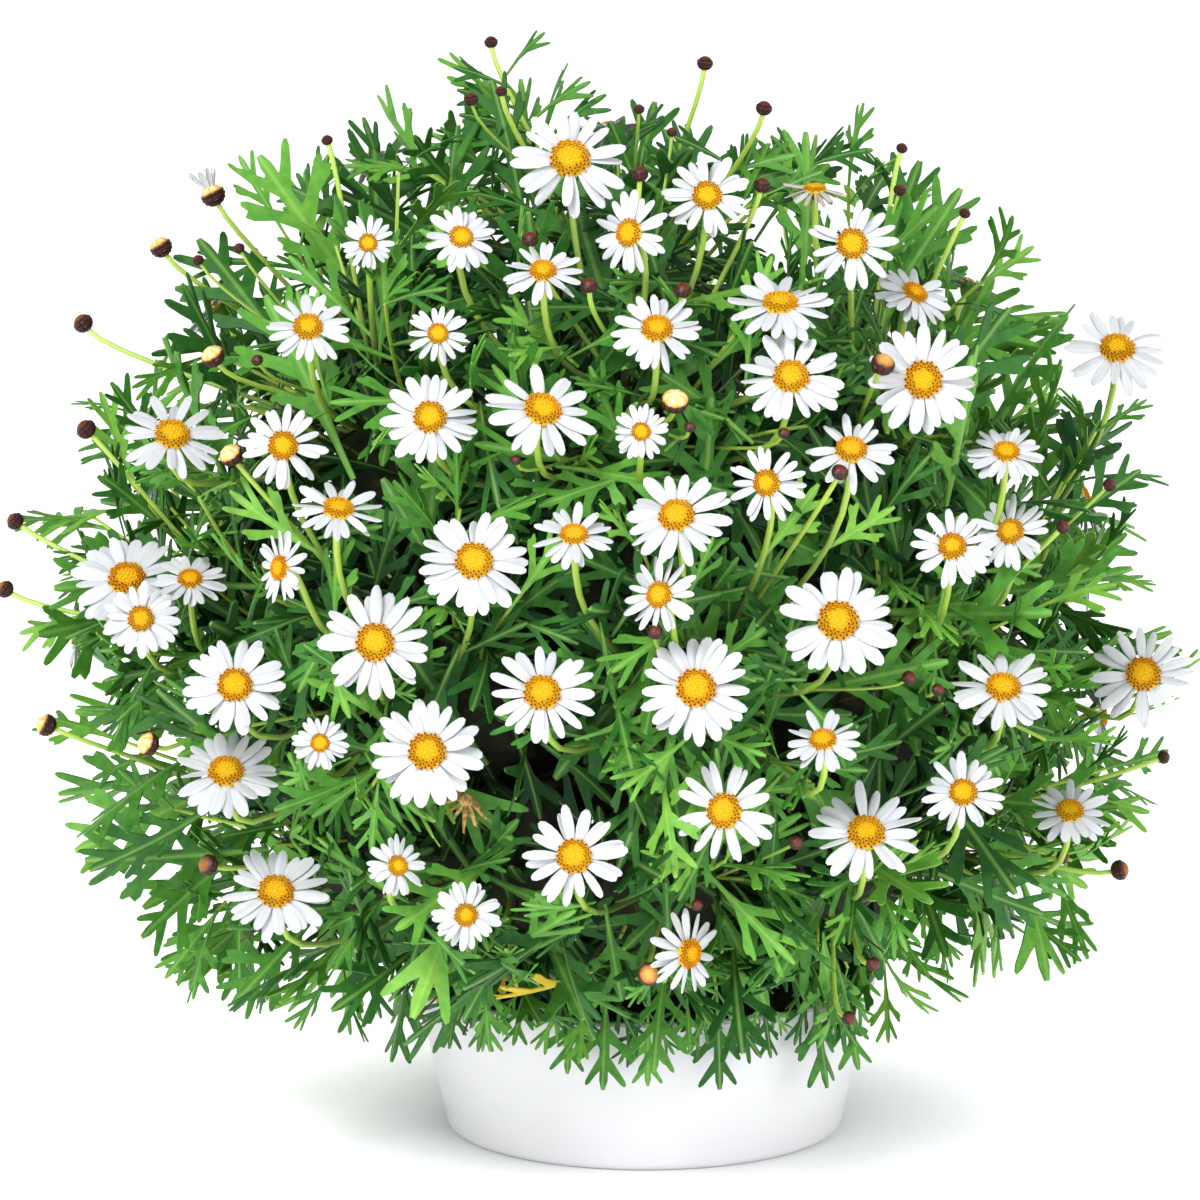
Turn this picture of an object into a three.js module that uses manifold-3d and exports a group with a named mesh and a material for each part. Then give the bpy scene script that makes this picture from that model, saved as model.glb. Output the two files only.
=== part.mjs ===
// A bushy marguerite daisy in a shallow white pot. Millimetres, +Z up, with the origin at the middle of
// the pot's underside. The side that the photograph shows looks along -Y.
import * as THREE from 'three';
import { mergeVertices } from 'three/addons/utils/BufferGeometryUtils.js';
import Module from 'manifold-3d';

const wasm = await Module();
wasm.setup();

// The pot: a low white bowl, wider at the rim, with a rounded foot
const POT_HEIGHT = 73;
const POT_RIM_RADIUS = 108;
const POT_FLAT_RADIUS = 84;
const POT_HEEL_RADIUS = 93;
const POT_HEEL_HEIGHT = 8;
const POT_WALL = 4;
const POT_FLOOR = 6;
const POT_LIP = 1.5;
const POT_SEGMENTS = 32;

// The soil and the root crown that stands in it
const SOIL_EDGE = 60;
const SOIL_MOUND = 63;
const SOIL_HOLE_DEPTH = 26;
const CROWN_RADIUS = 15;
const CROWN_HEIGHT = 9;
const CROWN_SIDES = 8;
const GAP = 0.4;
const OWN_GAP = 0.35;
const SMALLEST_FEATURE = 0.02;

// The bush: a ball of foliage, seen a little to the left over its pot, and the hub that it branches from
const BUSH_CENTRE = new THREE.Vector3(-18, 0, 250);
const FLOWER_SHELL = 252;
const LEAF_SHELL = 267;
const LEAF_SHELL_VARIES = 5;
const HUB = new THREE.Vector3(-10, 0, 165);
const LOWEST_LEAF_TIP = 46;

// The main shoots leave the hub in rings, each ring leaning further out
const SHOOT_RINGS = [
  { lean: 0, count: 1 },
  { lean: 36, count: 6 },
  { lean: 68, count: 9 },
  { lean: 98, count: 11 },
];

// The woody base: a short trunk, the knuckle at its top that the shoots were pruned back to, and a twig
// for each shoot
const TRUNK_RADIUS = 10;
const TRUNK_TAPER = 0.85;
const TRUNK_SIDES = 6;
const KNUCKLE_RADIUS = 24;
const TWIG_START = 14.4;
const TWIG_ROOT_RADIUS = 3.6;
const TWIG_RADIUS = 2.6;
const TWIG_END = 69.6;

// A leafy stem: a slim cone of inner foliage round its green stem, hollow on top, that opens to a rim of
// leaves. Its heights are shares of the distance from the hub to the flowers.
const STEM_START = 70;
const STEM_RADIUS = 2.4;
const STEM_TIP_RADIUS = 4;
const STEM_SIDES = 3;
const STEM_TIP = 0.6;
const RIM_SPREAD = 13.5;
const RIM_LOW = 0.68;
const RIM_HIGH = 0.8;

// Leaves: how many on a stem, and how they lean, in degrees from the line through their root
const LEAVES = 8;
const LEAF_TRIES = 20;
const LEAF_TRY_SHORTER = 0.02;
const GOLDEN_ANGLE = 137.508;
const INWARD_LEAN = { least: -48, most: -6 };
const OUTWARD_LEAN = { least: 18, most: 52 };
const LEAF_SWING = 24;
const LEAF_ROLL = 25;
const LEAF_LENGTH = { least: 46, most: 90 };
const LEAF_DROOP = 0.9;
const DROOP_BELOW = 0.3;
const DROOP_FULL = 0.6;
const LEAF_ARCH = { least: 0.05, most: 0.17 };
const LEAF_KEEL = 0.3;
const LEAF_HALF_THICKNESS = 1;
const LEAF_STALK_HALF_WIDTH = 1.8;
const LEAF_STALK_THICKNESS = 2;

// Half a leaf's outline as shares of its length: the narrow stalk, then two cut lobes and their notches
const LEAF_RIB = 0.46;
const LEAF_HALF = [
  { along: 0.3, out: 0.045 },
  { along: 0.56, out: 0.26 },
  { along: 0.55, out: 0.075 },
  { along: 0.86, out: 0.21 },
  { along: 0.73, out: 0.055 },
];

// Flower heads: shares of the radius over the rays, and real sizes of the stalk
const DISC_SHARE = 0.33;
const DISC_DOME = 0.13;
const RAY_TIP_HALF = 9;
const RAY_KEEL_REACH = 0.98;
const RAY_THICKNESS = 1;
const NECK_DEPTH = 0.3;
const LARGE_HEAD = 44;
const LARGE_HEAD_RAYS = 9;
const SMALL_HEAD_RAYS = 8;
const STALK_RADIUS = 1.2;
const STALK_SET_BACK = 10;
const STALK_DROPS = [30, 20, 10, 0];
const CONE_ROOM = 2.5;
const BUD_STALK_RADIUS = 1;
const BUD_LIFT = 0.7;
const BUD_SIDES = 4;
const STALK_END_SHARE = 0.65;
const FORK_RADIUS = 2.6;
const FORK_FOOT = 5;
const FORK_STEP = 4;

// The photograph's viewpoint. It only places the heads and buds that were read from the picture, which is
// 1200 pixels wide, at a scale taken from the real width of the largest heads.
const VIEW_ELEVATION = 10;
const VIEW_DISTANCE = 3200;
const VIEW_AIM = new THREE.Vector3(-20.7, 0, 247);
const PICTURE_MIDDLE = 600;
const MM_PER_PIXEL = 0.46;

// Heads on the photographed side: the disc's pixel, the width over the rays in millimetres, and how many
// degrees the head looks up and to the right of the viewer. "back" moves it away along the line of sight.
const HEADS = [
  { px: 570, py: 160, wide: 53, up: 25, right: 0 },
  { px: 707, py: 196, wide: 39, up: 15, right: 0 },
  { px: 368, py: 243, wide: 25, up: 5, right: 0 },
  { px: 461, py: 238, wide: 32, up: 25, right: 10 },
  { px: 630, py: 233, wide: 37, up: 5, right: -32 },
  { px: 543, py: 272, wide: 35, up: 40, right: 0 },
  { px: 852, py: 244, wide: 41, up: 8, right: 0 },
  { px: 815, py: 190, wide: 30, up: 70, right: 0, back: 45 },
  { px: 780, py: 305, wide: 46, up: 54, right: 0 },
  { px: 657, py: 330, wide: 41, up: 35, right: 0 },
  { px: 308, py: 328, wide: 39, up: 30, right: 0 },
  { px: 438, py: 334, wide: 28, up: 15, right: 0 },
  { px: 914, py: 294, wide: 35, up: 40, right: 30, back: 30 },
  { px: 1117, py: 350, wide: 49, up: 40, right: 0 },
  { px: 791, py: 378, wide: 47, up: 28, right: 0 },
  { px: 923, py: 380, wide: 50, up: 5, right: 0 },
  { px: 430, py: 418, wide: 43, up: 18, right: 0 },
  { px: 542, py: 411, wide: 49, up: 35, right: 15 },
  { px: 172, py: 436, wide: 47, up: 38, right: 10 },
  { px: 283, py: 446, wide: 39, up: 10, right: 0 },
  { px: 641, py: 432, wide: 25, up: 10, right: 0 },
  { px: 851, py: 451, wide: 41, up: 40, right: 0 },
  { px: 1006, py: 453, wide: 35, up: 42, right: 0 },
  { px: 767, py: 483, wide: 35, up: 5, right: -15 },
  { px: 338, py: 510, wide: 40, up: 50, right: 10 },
  { px: 677, py: 517, wide: 47, up: 32, right: -10 },
  { px: 1011, py: 532, wide: 36, up: 20, right: -15, back: 22 },
  { px: 952, py: 547, wide: 37, up: 22, right: 0 },
  { px: 574, py: 536, wide: 36, up: 45, right: 0 },
  { px: 474, py: 562, wide: 49, up: 20, right: 0 },
  { px: 281, py: 568, wide: 33, up: 5, right: -48 },
  { px: 127, py: 580, wide: 50, up: 35, right: 0, back: 20 },
  { px: 190, py: 580, wide: 33, up: 42, right: 0, back: 42 },
  { px: 141, py: 619, wide: 35, up: 10, right: 0 },
  { px: 660, py: 595, wide: 35, up: 10, right: -25 },
  { px: 838, py: 622, wide: 53, up: 20, right: 0 },
  { px: 375, py: 643, wide: 50, up: 12, right: 0 },
  { px: 235, py: 686, wide: 46, up: 20, right: 0 },
  { px: 542, py: 694, wide: 48, up: 25, right: 0 },
  { px: 696, py: 689, wide: 51, up: 18, right: 0 },
  { px: 1003, py: 689, wide: 46, up: 40, right: 0 },
  { px: 1143, py: 675, wide: 48, up: 18, right: 0 },
  { px: 320, py: 743, wide: 25, up: 5, right: 0 },
  { px: 427, py: 752, wide: 49, up: 15, right: 0 },
  { px: 823, py: 741, wide: 35, up: 42, right: -10 },
  { px: 226, py: 773, wide: 47, up: 38, right: 0 },
  { px: 725, py: 811, wide: 46, up: 8, right: -18 },
  { px: 963, py: 793, wide: 37, up: 22, right: 0 },
  { px: 866, py: 834, wide: 49, up: 32, right: 0 },
  { px: 1070, py: 812, wide: 37, up: 42, right: 0 },
  { px: 574, py: 857, wide: 46, up: 18, right: 0 },
  { px: 397, py: 866, wide: 28, up: 10, right: 25 },
  { px: 276, py: 893, wide: 48, up: 30, right: 0 },
  { px: 466, py: 915, wide: 31, up: 5, right: 0 },
  { px: 688, py: 953, wide: 39, up: -5, right: 45 },
];

// Buds on the photographed side, with their widths in millimetres
const BUDS = [
  { px: 161, py: 247, wide: 10 },
  { px: 213, py: 195, wide: 11 },
  { px: 213, py: 356, wide: 10 },
  { px: 231, py: 455, wide: 10 },
  { px: 83, py: 323, wide: 9 },
  { px: 86, py: 429, wide: 9 },
  { px: 15, py: 521, wide: 8 },
  { px: 5, py: 589, wide: 8 },
  { px: 46, py: 725, wide: 10 },
  { px: 148, py: 744, wide: 10, back: 15 },
  { px: 208, py: 865, wide: 9 },
  { px: 675, py: 401, wide: 11 },
  { px: 883, py: 364, wide: 10 },
  { px: 649, py: 974, wide: 10 },
  { px: 1120, py: 870, wide: 9 },
  { px: 491, py: 42, wide: 6 },
  { px: 501, py: 91, wide: 5 },
  { px: 327, py: 140, wide: 5 },
  { px: 705, py: 63, wide: 7 },
  { px: 764, py: 108, wide: 7 },
  { px: 762, py: 185, wide: 7 },
  { px: 640, py: 174, wide: 7 },
  { px: 902, py: 148, wide: 5 },
  { px: 965, py: 213, wide: 5 },
  { px: 530, py: 239, wide: 7 },
  { px: 589, py: 285, wide: 7 },
  { px: 683, py: 290, wide: 7 },
  { px: 840, py: 472, wide: 7 },
  { px: 1063, py: 527, wide: 6 },
  { px: 849, py: 1018, wide: 6 },
  { px: 873, py: 964, wide: 6 },
  { px: 1164, py: 757, wide: 6 },
  { px: 1063, py: 857, wide: 6 },
];

// Heads and buds on the side away from the viewer, spread evenly over the ball by a rule
const ROUND_POINTS = 64;
const ROUND_LOWEST = -0.5;
const ROUND_TURN = 0.1;
const ROUND_CLEAR = 8;
const ROUND_WIDTHS = { least: 32, most: 50 };
const ROUND_LIFT = 0.35;
const ROUND_BUD_EVERY = 4;
const ROUND_BUD_WIDTH = 8;

// Even, repeatable shares between 0 and 1, one for each pair of whole numbers
function share(first, second) {
  const wave = Math.sin(first * 127.1 + second * 311.7) * 43758.5453;
  return wave - Math.floor(wave);
}

function mix(low, high, part) {
  return low + (high - low) * part;
}

const rad = THREE.MathUtils.degToRad;
const UP = new THREE.Vector3(0, 0, 1);
const VIEW_RIGHT = new THREE.Vector3(1, 0, 0);
const TO_VIEWER = new THREE.Vector3(0, -Math.cos(rad(VIEW_ELEVATION)), Math.sin(rad(VIEW_ELEVATION)));
const VIEW_UP = new THREE.Vector3(0, Math.sin(rad(VIEW_ELEVATION)), Math.cos(rad(VIEW_ELEVATION)));

// A sum of vectors, each with its own factor
function blend(...terms) {
  const sum = new THREE.Vector3();
  for (const [vector, factor] of terms) sum.addScaledVector(vector, factor);
  return sum;
}

// Two directions square to a given one and to each other
function squareTo(direction) {
  const helper = Math.abs(direction.z) > 0.99 ? VIEW_RIGHT : UP;
  const side = helper.clone().cross(direction).normalize();
  return [side, direction.clone().cross(side)];
}

function solid(points, faces) {
  const vertProperties = new Float32Array(points.flatMap((point) => point.toArray()));
  const triVerts = new Uint32Array(faces.flat());
  return new wasm.Manifold(new wasm.Mesh({ numProp: 3, vertProperties, triVerts }));
}

// A closed three.js geometry as a solid
function solidFrom(geometry) {
  geometry.deleteAttribute('normal');
  geometry.deleteAttribute('uv');
  const merged = mergeVertices(geometry, 1e-3);
  const points = [];
  for (let i = 0; i < merged.attributes.position.count; i += 1) {
    points.push(new THREE.Vector3().fromBufferAttribute(merged.attributes.position, i));
  }
  const faces = [];
  for (let i = 0; i < merged.index.count; i += 3) {
    const face = [0, 1, 2].map((corner) => merged.index.getX(i + corner));
    if (new Set(face).size === 3) faces.push(face);
  }
  return solid(points, faces);
}

// A profile of [radius, height] pairs turned about a vertical axis
function turned(profile, segments, centre = new THREE.Vector3()) {
  const points = profile.map(([radius, height]) => new THREE.Vector2(radius, height));
  const geometry = new THREE.LatheGeometry(points, segments);
  geometry.rotateX(Math.PI / 2);
  geometry.translate(centre.x, centre.y, centre.z);
  return solidFrom(geometry);
}

// A ring of points square to a pair of axes
function ringAt(centre, axes, radius, sides, points) {
  return Array.from({ length: sides }, (_, i) => {
    const turn = (2 * Math.PI * (i + 0.5)) / sides;
    points.push(blend([centre, 1], [axes[0], radius * Math.cos(turn)], [axes[1], radius * Math.sin(turn)]));
    return points.length - 1;
  });
}

// The faces between an outer ring of many points and an inner ring of few, which run the same way round
function bridge(faces, many, few) {
  const count = many.length;
  many.forEach((here, i) => {
    const next = many[(i + 1) % count];
    const near = Math.floor((few.length * i) / count);
    const far = Math.floor((few.length * (i + 1)) / count) % few.length;
    faces.push([next, here, few[near]]);
    if (near !== far) faces.push([next, few[near], few[far]]);
  });
}

function cap(faces, ring) {
  for (let i = 1; i + 1 < ring.length; i += 1) faces.push([ring[0], ring[i + 1], ring[i]]);
}

// A straight bar with a radius at each end
function bar(start, end, radii, sides, axes) {
  const points = [];
  const faces = [];
  const low = ringAt(start, axes, radii[0], sides, points);
  const high = ringAt(end, axes, radii[1], sides, points);
  bridge(faces, high, low);
  cap(faces, low);
  cap(faces, high.reverse());
  return solid(points, faces);
}

// The main shoots, numbered from the top ring down
const shoots = SHOOT_RINGS.flatMap((ring, level) =>
  Array.from({ length: ring.count }, (_, i) => {
    const around = rad((360 * (i + level / 2)) / ring.count);
    const flat = Math.sin(rad(ring.lean));
    const rise = Math.cos(rad(ring.lean));
    const axis = new THREE.Vector3(flat * Math.cos(around), flat * Math.sin(around), rise);
    return { axis, axes: squareTo(axis) };
  }),
);
shoots.forEach((shoot, i) => {
  shoot.number = i + 1;
  shoot.reach = reachTo(HUB, shoot.axis, FLOWER_SHELL);
});

// How far a line from a point runs before it leaves the ball of the given radius round the bush's centre
function reachTo(start, direction, radius) {
  const offset = start.clone().sub(BUSH_CENTRE);
  const along = offset.dot(direction);
  return Math.sqrt(along * along + radius * radius - offset.lengthSq()) - along;
}

// The direction that leaves a shoot's own line by some degrees, on the side given by degrees round it
function offAxis(shoot, off, around) {
  return blend(
    [shoot.axis, Math.cos(rad(off))],
    [shoot.axes[0], Math.sin(rad(off)) * Math.cos(rad(around))],
    [shoot.axes[1], Math.sin(rad(off)) * Math.sin(rad(around))],
  );
}

function onAxis(shoot, distance) {
  return blend([HUB, 1], [shoot.axis, distance]);
}

// The pot
function makePot() {
  const lean = (POT_RIM_RADIUS - POT_HEEL_RADIUS) / (POT_HEIGHT - POT_HEEL_HEIGHT);
  const inner = (height) => POT_HEEL_RADIUS + lean * (height - POT_HEEL_HEIGHT) - POT_WALL;
  return turned(
    [
      [0, 0],
      [POT_FLAT_RADIUS, 0],
      [mix(POT_FLAT_RADIUS, POT_HEEL_RADIUS, 0.7), POT_HEEL_HEIGHT * 0.3],
      [POT_HEEL_RADIUS, POT_HEEL_HEIGHT],
      [POT_RIM_RADIUS, POT_HEIGHT - POT_LIP],
      [POT_RIM_RADIUS - POT_LIP / 2, POT_HEIGHT],
      [POT_RIM_RADIUS - POT_WALL + POT_LIP / 2, POT_HEIGHT],
      [inner(POT_HEIGHT - POT_LIP), POT_HEIGHT - POT_LIP],
      [inner(POT_HEEL_HEIGHT), POT_HEEL_HEIGHT + POT_FLOOR / 2],
      [POT_FLAT_RADIUS - POT_WALL / 2, POT_FLOOR],
      [0, POT_FLOOR],
    ],
    POT_SEGMENTS,
  );
}

// The soil fills the pot to just under its rim and is a little raised in the middle
function makeSoil() {
  const lean = (POT_RIM_RADIUS - POT_HEEL_RADIUS) / (POT_HEIGHT - POT_HEEL_HEIGHT);
  const edge = (height) => POT_HEEL_RADIUS + lean * (height - POT_HEEL_HEIGHT) - POT_WALL - 2 * GAP;
  const heel = POT_HEEL_HEIGHT + POT_FLOOR / 2 + 1;
  const body = turned(
    [
      [0, POT_FLOOR + GAP],
      [POT_FLAT_RADIUS - 3, POT_FLOOR + GAP],
      [edge(heel) - 1, heel],
      [edge(SOIL_EDGE), SOIL_EDGE],
      [0, SOIL_MOUND],
    ],
    POT_SEGMENTS,
  );
  const bottom = SOIL_MOUND - SOIL_HOLE_DEPTH;
  const hole = turned(
    [
      [0, bottom],
      [CROWN_RADIUS + GAP, bottom],
      [CROWN_RADIUS + GAP, POT_HEIGHT],
      [0, POT_HEIGHT],
    ],
    CROWN_SIDES,
    new THREE.Vector3(HUB.x, HUB.y, 0),
  );
  return body.subtract(hole);
}

// The woody base, with its root crown in the soil's hole
function makeWoodyBase() {
  const bottom = SOIL_MOUND - SOIL_HOLE_DEPTH + GAP;
  const crown = turned(
    [
      [0, bottom],
      [CROWN_RADIUS, bottom],
      [CROWN_RADIUS, SOIL_MOUND],
      [TRUNK_RADIUS * TRUNK_TAPER, SOIL_MOUND + CROWN_HEIGHT],
      [0, SOIL_MOUND + CROWN_HEIGHT],
    ],
    CROWN_SIDES,
    new THREE.Vector3(HUB.x, HUB.y, 0),
  );
  const foot = blend([HUB, 1], [UP, SOIL_MOUND - HUB.z]);
  const trunk = bar(foot, HUB, [TRUNK_RADIUS, TRUNK_RADIUS * TRUNK_TAPER], TRUNK_SIDES, squareTo(UP));
  const knuckle = solidFrom(new THREE.IcosahedronGeometry(KNUCKLE_RADIUS).translate(HUB.x, HUB.y, HUB.z));
  const twigs = shoots.map((shoot) => {
    const ends = [onAxis(shoot, TWIG_START), onAxis(shoot, TWIG_END)];
    return bar(...ends, [TWIG_ROOT_RADIUS, TWIG_RADIUS], STEM_SIDES, shoot.axes);
  });
  return wasm.Manifold.union([crown, trunk, knuckle, ...twigs]);
}

// A point of the rim, where a leaf roots
function rimPoint(shoot, leaf) {
  const radial = offAxis(shoot, RIM_SPREAD, (360 * leaf) / LEAVES);
  const height = mix(RIM_LOW, RIM_HIGH, share(shoot.number * LEAVES + leaf, 1));
  return blend([HUB, 1], [radial, reachTo(HUB, radial, FLOWER_SHELL) * height]);
}

// How a leaf stands, for one of several tries: it roots on the rim, leans out from the shoot or stands
// up, and reaches to the outside of the bush
function planLeaf(shoot, leaf, attempt) {
  const seed = shoot.number * LEAVES + leaf;
  const around = (360 * leaf) / LEAVES;
  const radial = offAxis(shoot, RIM_SPREAD, around);
  const outward = offAxis(shoot, 90, around);
  const base = rimPoint(shoot, leaf);
  const range = leaf % 2 === 0 ? OUTWARD_LEAN : INWARD_LEAN;
  const lean = rad(mix(range.least, range.most, share(seed, 2 + attempt)));
  const swing = Math.tan(rad(LEAF_SWING * (2 * share(seed, 22 + attempt) - 1)));
  const sag = LEAF_DROOP * THREE.MathUtils.clamp(DROOP_BELOW - radial.z, 0, DROOP_FULL);
  const tangent = shoot.axis.clone().cross(outward);
  const along = blend(
    [radial, Math.cos(lean)],
    [outward, Math.sin(lean)],
    [tangent, swing],
    [UP, -sag],
  ).normalize();
  let length = reachTo(base, along, LEAF_SHELL + LEAF_SHELL_VARIES * share(seed, 42));
  if (along.z < 0) length = Math.min(length, (base.z - LOWEST_LEAF_TIP) / -along.z);
  length *= 1 - LEAF_TRY_SHORTER * attempt;
  length = THREE.MathUtils.clamp(length, LEAF_LENGTH.least, LEAF_LENGTH.most);
  const level = blend([outward, -1], [along, outward.dot(along)]).normalize();
  const roll = rad(LEAF_ROLL * (2 * share(seed, 43) - 1));
  const face = blend([level, Math.cos(roll)], [level.clone().cross(along), Math.sin(roll)]);
  const arch = mix(LEAF_ARCH.least, LEAF_ARCH.most, share(seed, 44));
  return { base, along, face, length, arch };
}

// Adds a cut leaf's points and faces: a narrow stalk and five lobes round a thicker middle rib. It returns
// the three corners that its stalk starts from: right, below and left.
function addLeaf(points, faces, plan) {
  const side = plan.face.clone().cross(plan.along);
  const add = (along, out, rise) => {
    const drop = plan.arch * along * along + LEAF_KEEL * Math.abs(out);
    points.push(
      blend(
        [plan.base, 1],
        [plan.along, along * plan.length],
        [side, out * plan.length],
        [plan.face, rise - drop * plan.length],
      ),
    );
    return points.length - 1;
  };
  const foot = LEAF_STALK_HALF_WIDTH / plan.length;
  const start = [add(0, -foot, 0), add(0, 0, -LEAF_STALK_THICKNESS), add(0, foot, 0)];
  const right = LEAF_HALF.map((point) => add(point.along, -point.out, 0));
  const left = LEAF_HALF.map((point) => add(point.along, point.out, 0)).reverse();
  const outline = [start[0], ...right, add(1, 0, 0), ...left, start[2]];
  const above = add(LEAF_RIB, 0, LEAF_HALF_THICKNESS);
  const below = add(LEAF_RIB, 0, -LEAF_HALF_THICKNESS);
  outline.forEach((here, i) => {
    const next = outline[(i + 1) % outline.length];
    faces.push([above, here, next]);
    if (i + 1 < outline.length) faces.push([below, next, here]);
  });
  faces.push([below, start[1], start[2]], [below, start[0], start[1]]);
  return start;
}

// A leaf by itself, closed at the foot of its stalk
function makeLeaf(plan) {
  const points = [];
  const faces = [];
  const start = addLeaf(points, faces, plan);
  faces.push([start[0], start[2], start[1]]);
  return solid(points, faces);
}

// A leafy stem as one closed body. Where there is no plan for a leaf, the rim has a bare point.
function makeLeafyStem(shoot, plans) {
  const points = [];
  const faces = [];
  const starts = Array.from({ length: LEAVES }, (_, leaf) => {
    if (plans[leaf]) return addLeaf(points, faces, plans[leaf]);
    points.push(rimPoint(shoot, leaf));
    return [points.length - 1];
  });
  const inner = ringAt(onAxis(shoot, STEM_START), shoot.axes, STEM_RADIUS, STEM_SIDES, points);
  bridge(faces, starts.flat(), inner);
  cap(faces, inner);
  const rim = starts.flatMap((start) => (start.length > 1 ? [start[0], start[2]] : start)).reverse();
  const top = onAxis(shoot, shoot.reach * STEM_TIP);
  const tip = ringAt(top, shoot.axes, STEM_TIP_RADIUS, STEM_SIDES, points).reverse();
  bridge(faces, rim, tip);
  cap(faces, tip);
  return solid(points, faces);
}

// Where the line of sight through a pixel first meets the flowers' ball, or passes closest to its centre
function placeMark(mark) {
  const eye = blend([VIEW_AIM, 1], [TO_VIEWER, VIEW_DISTANCE]);
  const sight = blend(
    [TO_VIEWER, -VIEW_DISTANCE],
    [VIEW_RIGHT, (mark.px - PICTURE_MIDDLE) * MM_PER_PIXEL],
    [VIEW_UP, (PICTURE_MIDDLE - mark.py) * MM_PER_PIXEL],
  ).normalize();
  const toCentre = BUSH_CENTRE.clone().sub(eye);
  const along = toCentre.dot(sight);
  const miss = toCentre.lengthSq() - along * along;
  const half = Math.sqrt(Math.max(0, FLOWER_SHELL * FLOWER_SHELL - miss));
  return blend([eye, 1], [sight, along - half + (mark.back ?? 0)]);
}

function faceViewer(mark) {
  const up = rad(mark.up ?? 35);
  const right = rad(mark.right ?? 0);
  return blend(
    [TO_VIEWER, Math.cos(up) * Math.cos(right)],
    [VIEW_RIGHT, Math.cos(up) * Math.sin(right)],
    [VIEW_UP, Math.sin(up)],
  );
}

// Every head and bud: where it is, which way it looks and which shoot carries it
const flowers = [];
for (const mark of HEADS) {
  flowers.push({ place: placeMark(mark), look: faceViewer(mark), wide: mark.wide, head: true });
}
for (const mark of BUDS) {
  const place = placeMark(mark);
  const look = blend([place, 1], [BUSH_CENTRE, -1]).normalize();
  flowers.push({ place, look: blend([look, 1], [UP, BUD_LIFT]).normalize(), wide: mark.wide, head: false });
}
for (let i = 0; i < ROUND_POINTS; i += 1) {
  const height = 1 - (2 * (i + 0.5)) / ROUND_POINTS;
  const turn = rad(GOLDEN_ANGLE * i + 360 * ROUND_TURN);
  const flat = Math.sqrt(1 - height * height);
  const away = new THREE.Vector3(flat * Math.cos(turn), flat * Math.sin(turn), height);
  const place = blend([BUSH_CENTRE, 1], [away, FLOWER_SHELL]);
  const head = i % ROUND_BUD_EVERY !== 0;
  const wide = head ? mix(ROUND_WIDTHS.least, ROUND_WIDTHS.most, share(i, 7)) : ROUND_BUD_WIDTH;
  const seen = away.dot(TO_VIEWER) > 0 || height < ROUND_LOWEST;
  const crowded = flowers.some(
    (other) => other.place.distanceTo(place) < (other.wide + wide) / 2 + ROUND_CLEAR,
  );
  if (!seen && !crowded) {
    flowers.push({ place, look: blend([away, 1], [UP, ROUND_LIFT]).normalize(), wide, head });
  }
}
for (const flower of flowers) {
  const direction = flower.place.clone().sub(HUB).normalize();
  flower.shoot = shoots.reduce((best, shoot) =>
    shoot.axis.dot(direction) > best.axis.dot(direction) ? shoot : best,
  );
  flower.off = 1 - flower.shoot.axis.dot(direction);
}

// The flowers that lean furthest out leave their shoot's fork lowest
for (const shoot of shoots) {
  const own = flowers.filter((flower) => flower.shoot === shoot).sort((one, two) => two.off - one.off);
  own.forEach((flower, order) => {
    flower.order = order;
  });
}

// A stalk from a flower's underside down to the fork, each ring square to the path
function addStalk(points, faces, underside, path, radius, look) {
  let direction = look;
  let axes = squareTo(look);
  let above = underside;
  path.forEach((point, i) => {
    const last = i + 1 === path.length;
    const before = i === 0 ? look : path[i - 1].clone().sub(point).normalize();
    const after = last ? before : point.clone().sub(path[i + 1]).normalize();
    const along = i === 0 ? look : before.clone().add(after).normalize();
    const bend = new THREE.Quaternion().setFromUnitVectors(direction, along);
    axes = axes.map((axis) => axis.clone().applyQuaternion(bend));
    direction = along;
    const ring = ringAt(point, axes, last ? radius * STALK_END_SHARE : radius, STEM_SIDES, points);
    bridge(faces, above, ring);
    above = ring;
  });
  cap(faces, above);
}

// A flower head on its stalk: blunt rays with a keel below, a domed disc, and a neck
function makeHead(flower, path) {
  const radius = flower.wide / 2;
  const rays = flower.wide > LARGE_HEAD ? LARGE_HEAD_RAYS : SMALL_HEAD_RAYS;
  const [side, across] = squareTo(flower.look);
  const at = (out, turn, rise) =>
    blend(
      [flower.place, 1],
      [side, out * Math.cos(rad(turn))],
      [across, out * Math.sin(rad(turn))],
      [flower.look, rise],
    );
  const disc = radius * DISC_SHARE;
  const step = 360 / rays;
  const points = [at(0, 0, radius * DISC_DOME)];
  const faces = [];
  const underside = [];
  for (let i = 0; i < rays; i += 1) {
    const turn = step * i;
    points.push(at(disc, turn - step / 2, 0));
    points.push(at(disc, turn, -RAY_THICKNESS));
    points.push(at(radius, turn - RAY_TIP_HALF, 0));
    points.push(at(radius, turn + RAY_TIP_HALF, 0));
    points.push(at(radius * RAY_KEEL_REACH, turn, -RAY_THICKNESS));
    const [seam, below, tipLow, tipHigh, keel] = [1, 2, 3, 4, 5].map((part) => 5 * i + part);
    const nextSeam = 5 * ((i + 1) % rays) + 1;
    faces.push([0, seam, nextSeam], [seam, tipLow, tipHigh], [seam, tipHigh, nextSeam]);
    faces.push([seam, below, keel], [seam, keel, tipLow], [tipLow, keel, tipHigh]);
    faces.push([nextSeam, tipHigh, keel], [nextSeam, keel, below], [nextSeam, below, nextSeam + 1]);
    underside.push(below);
  }
  addStalk(points, faces, underside, path, STALK_RADIUS, flower.look);
  return solid(points, faces);
}

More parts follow.
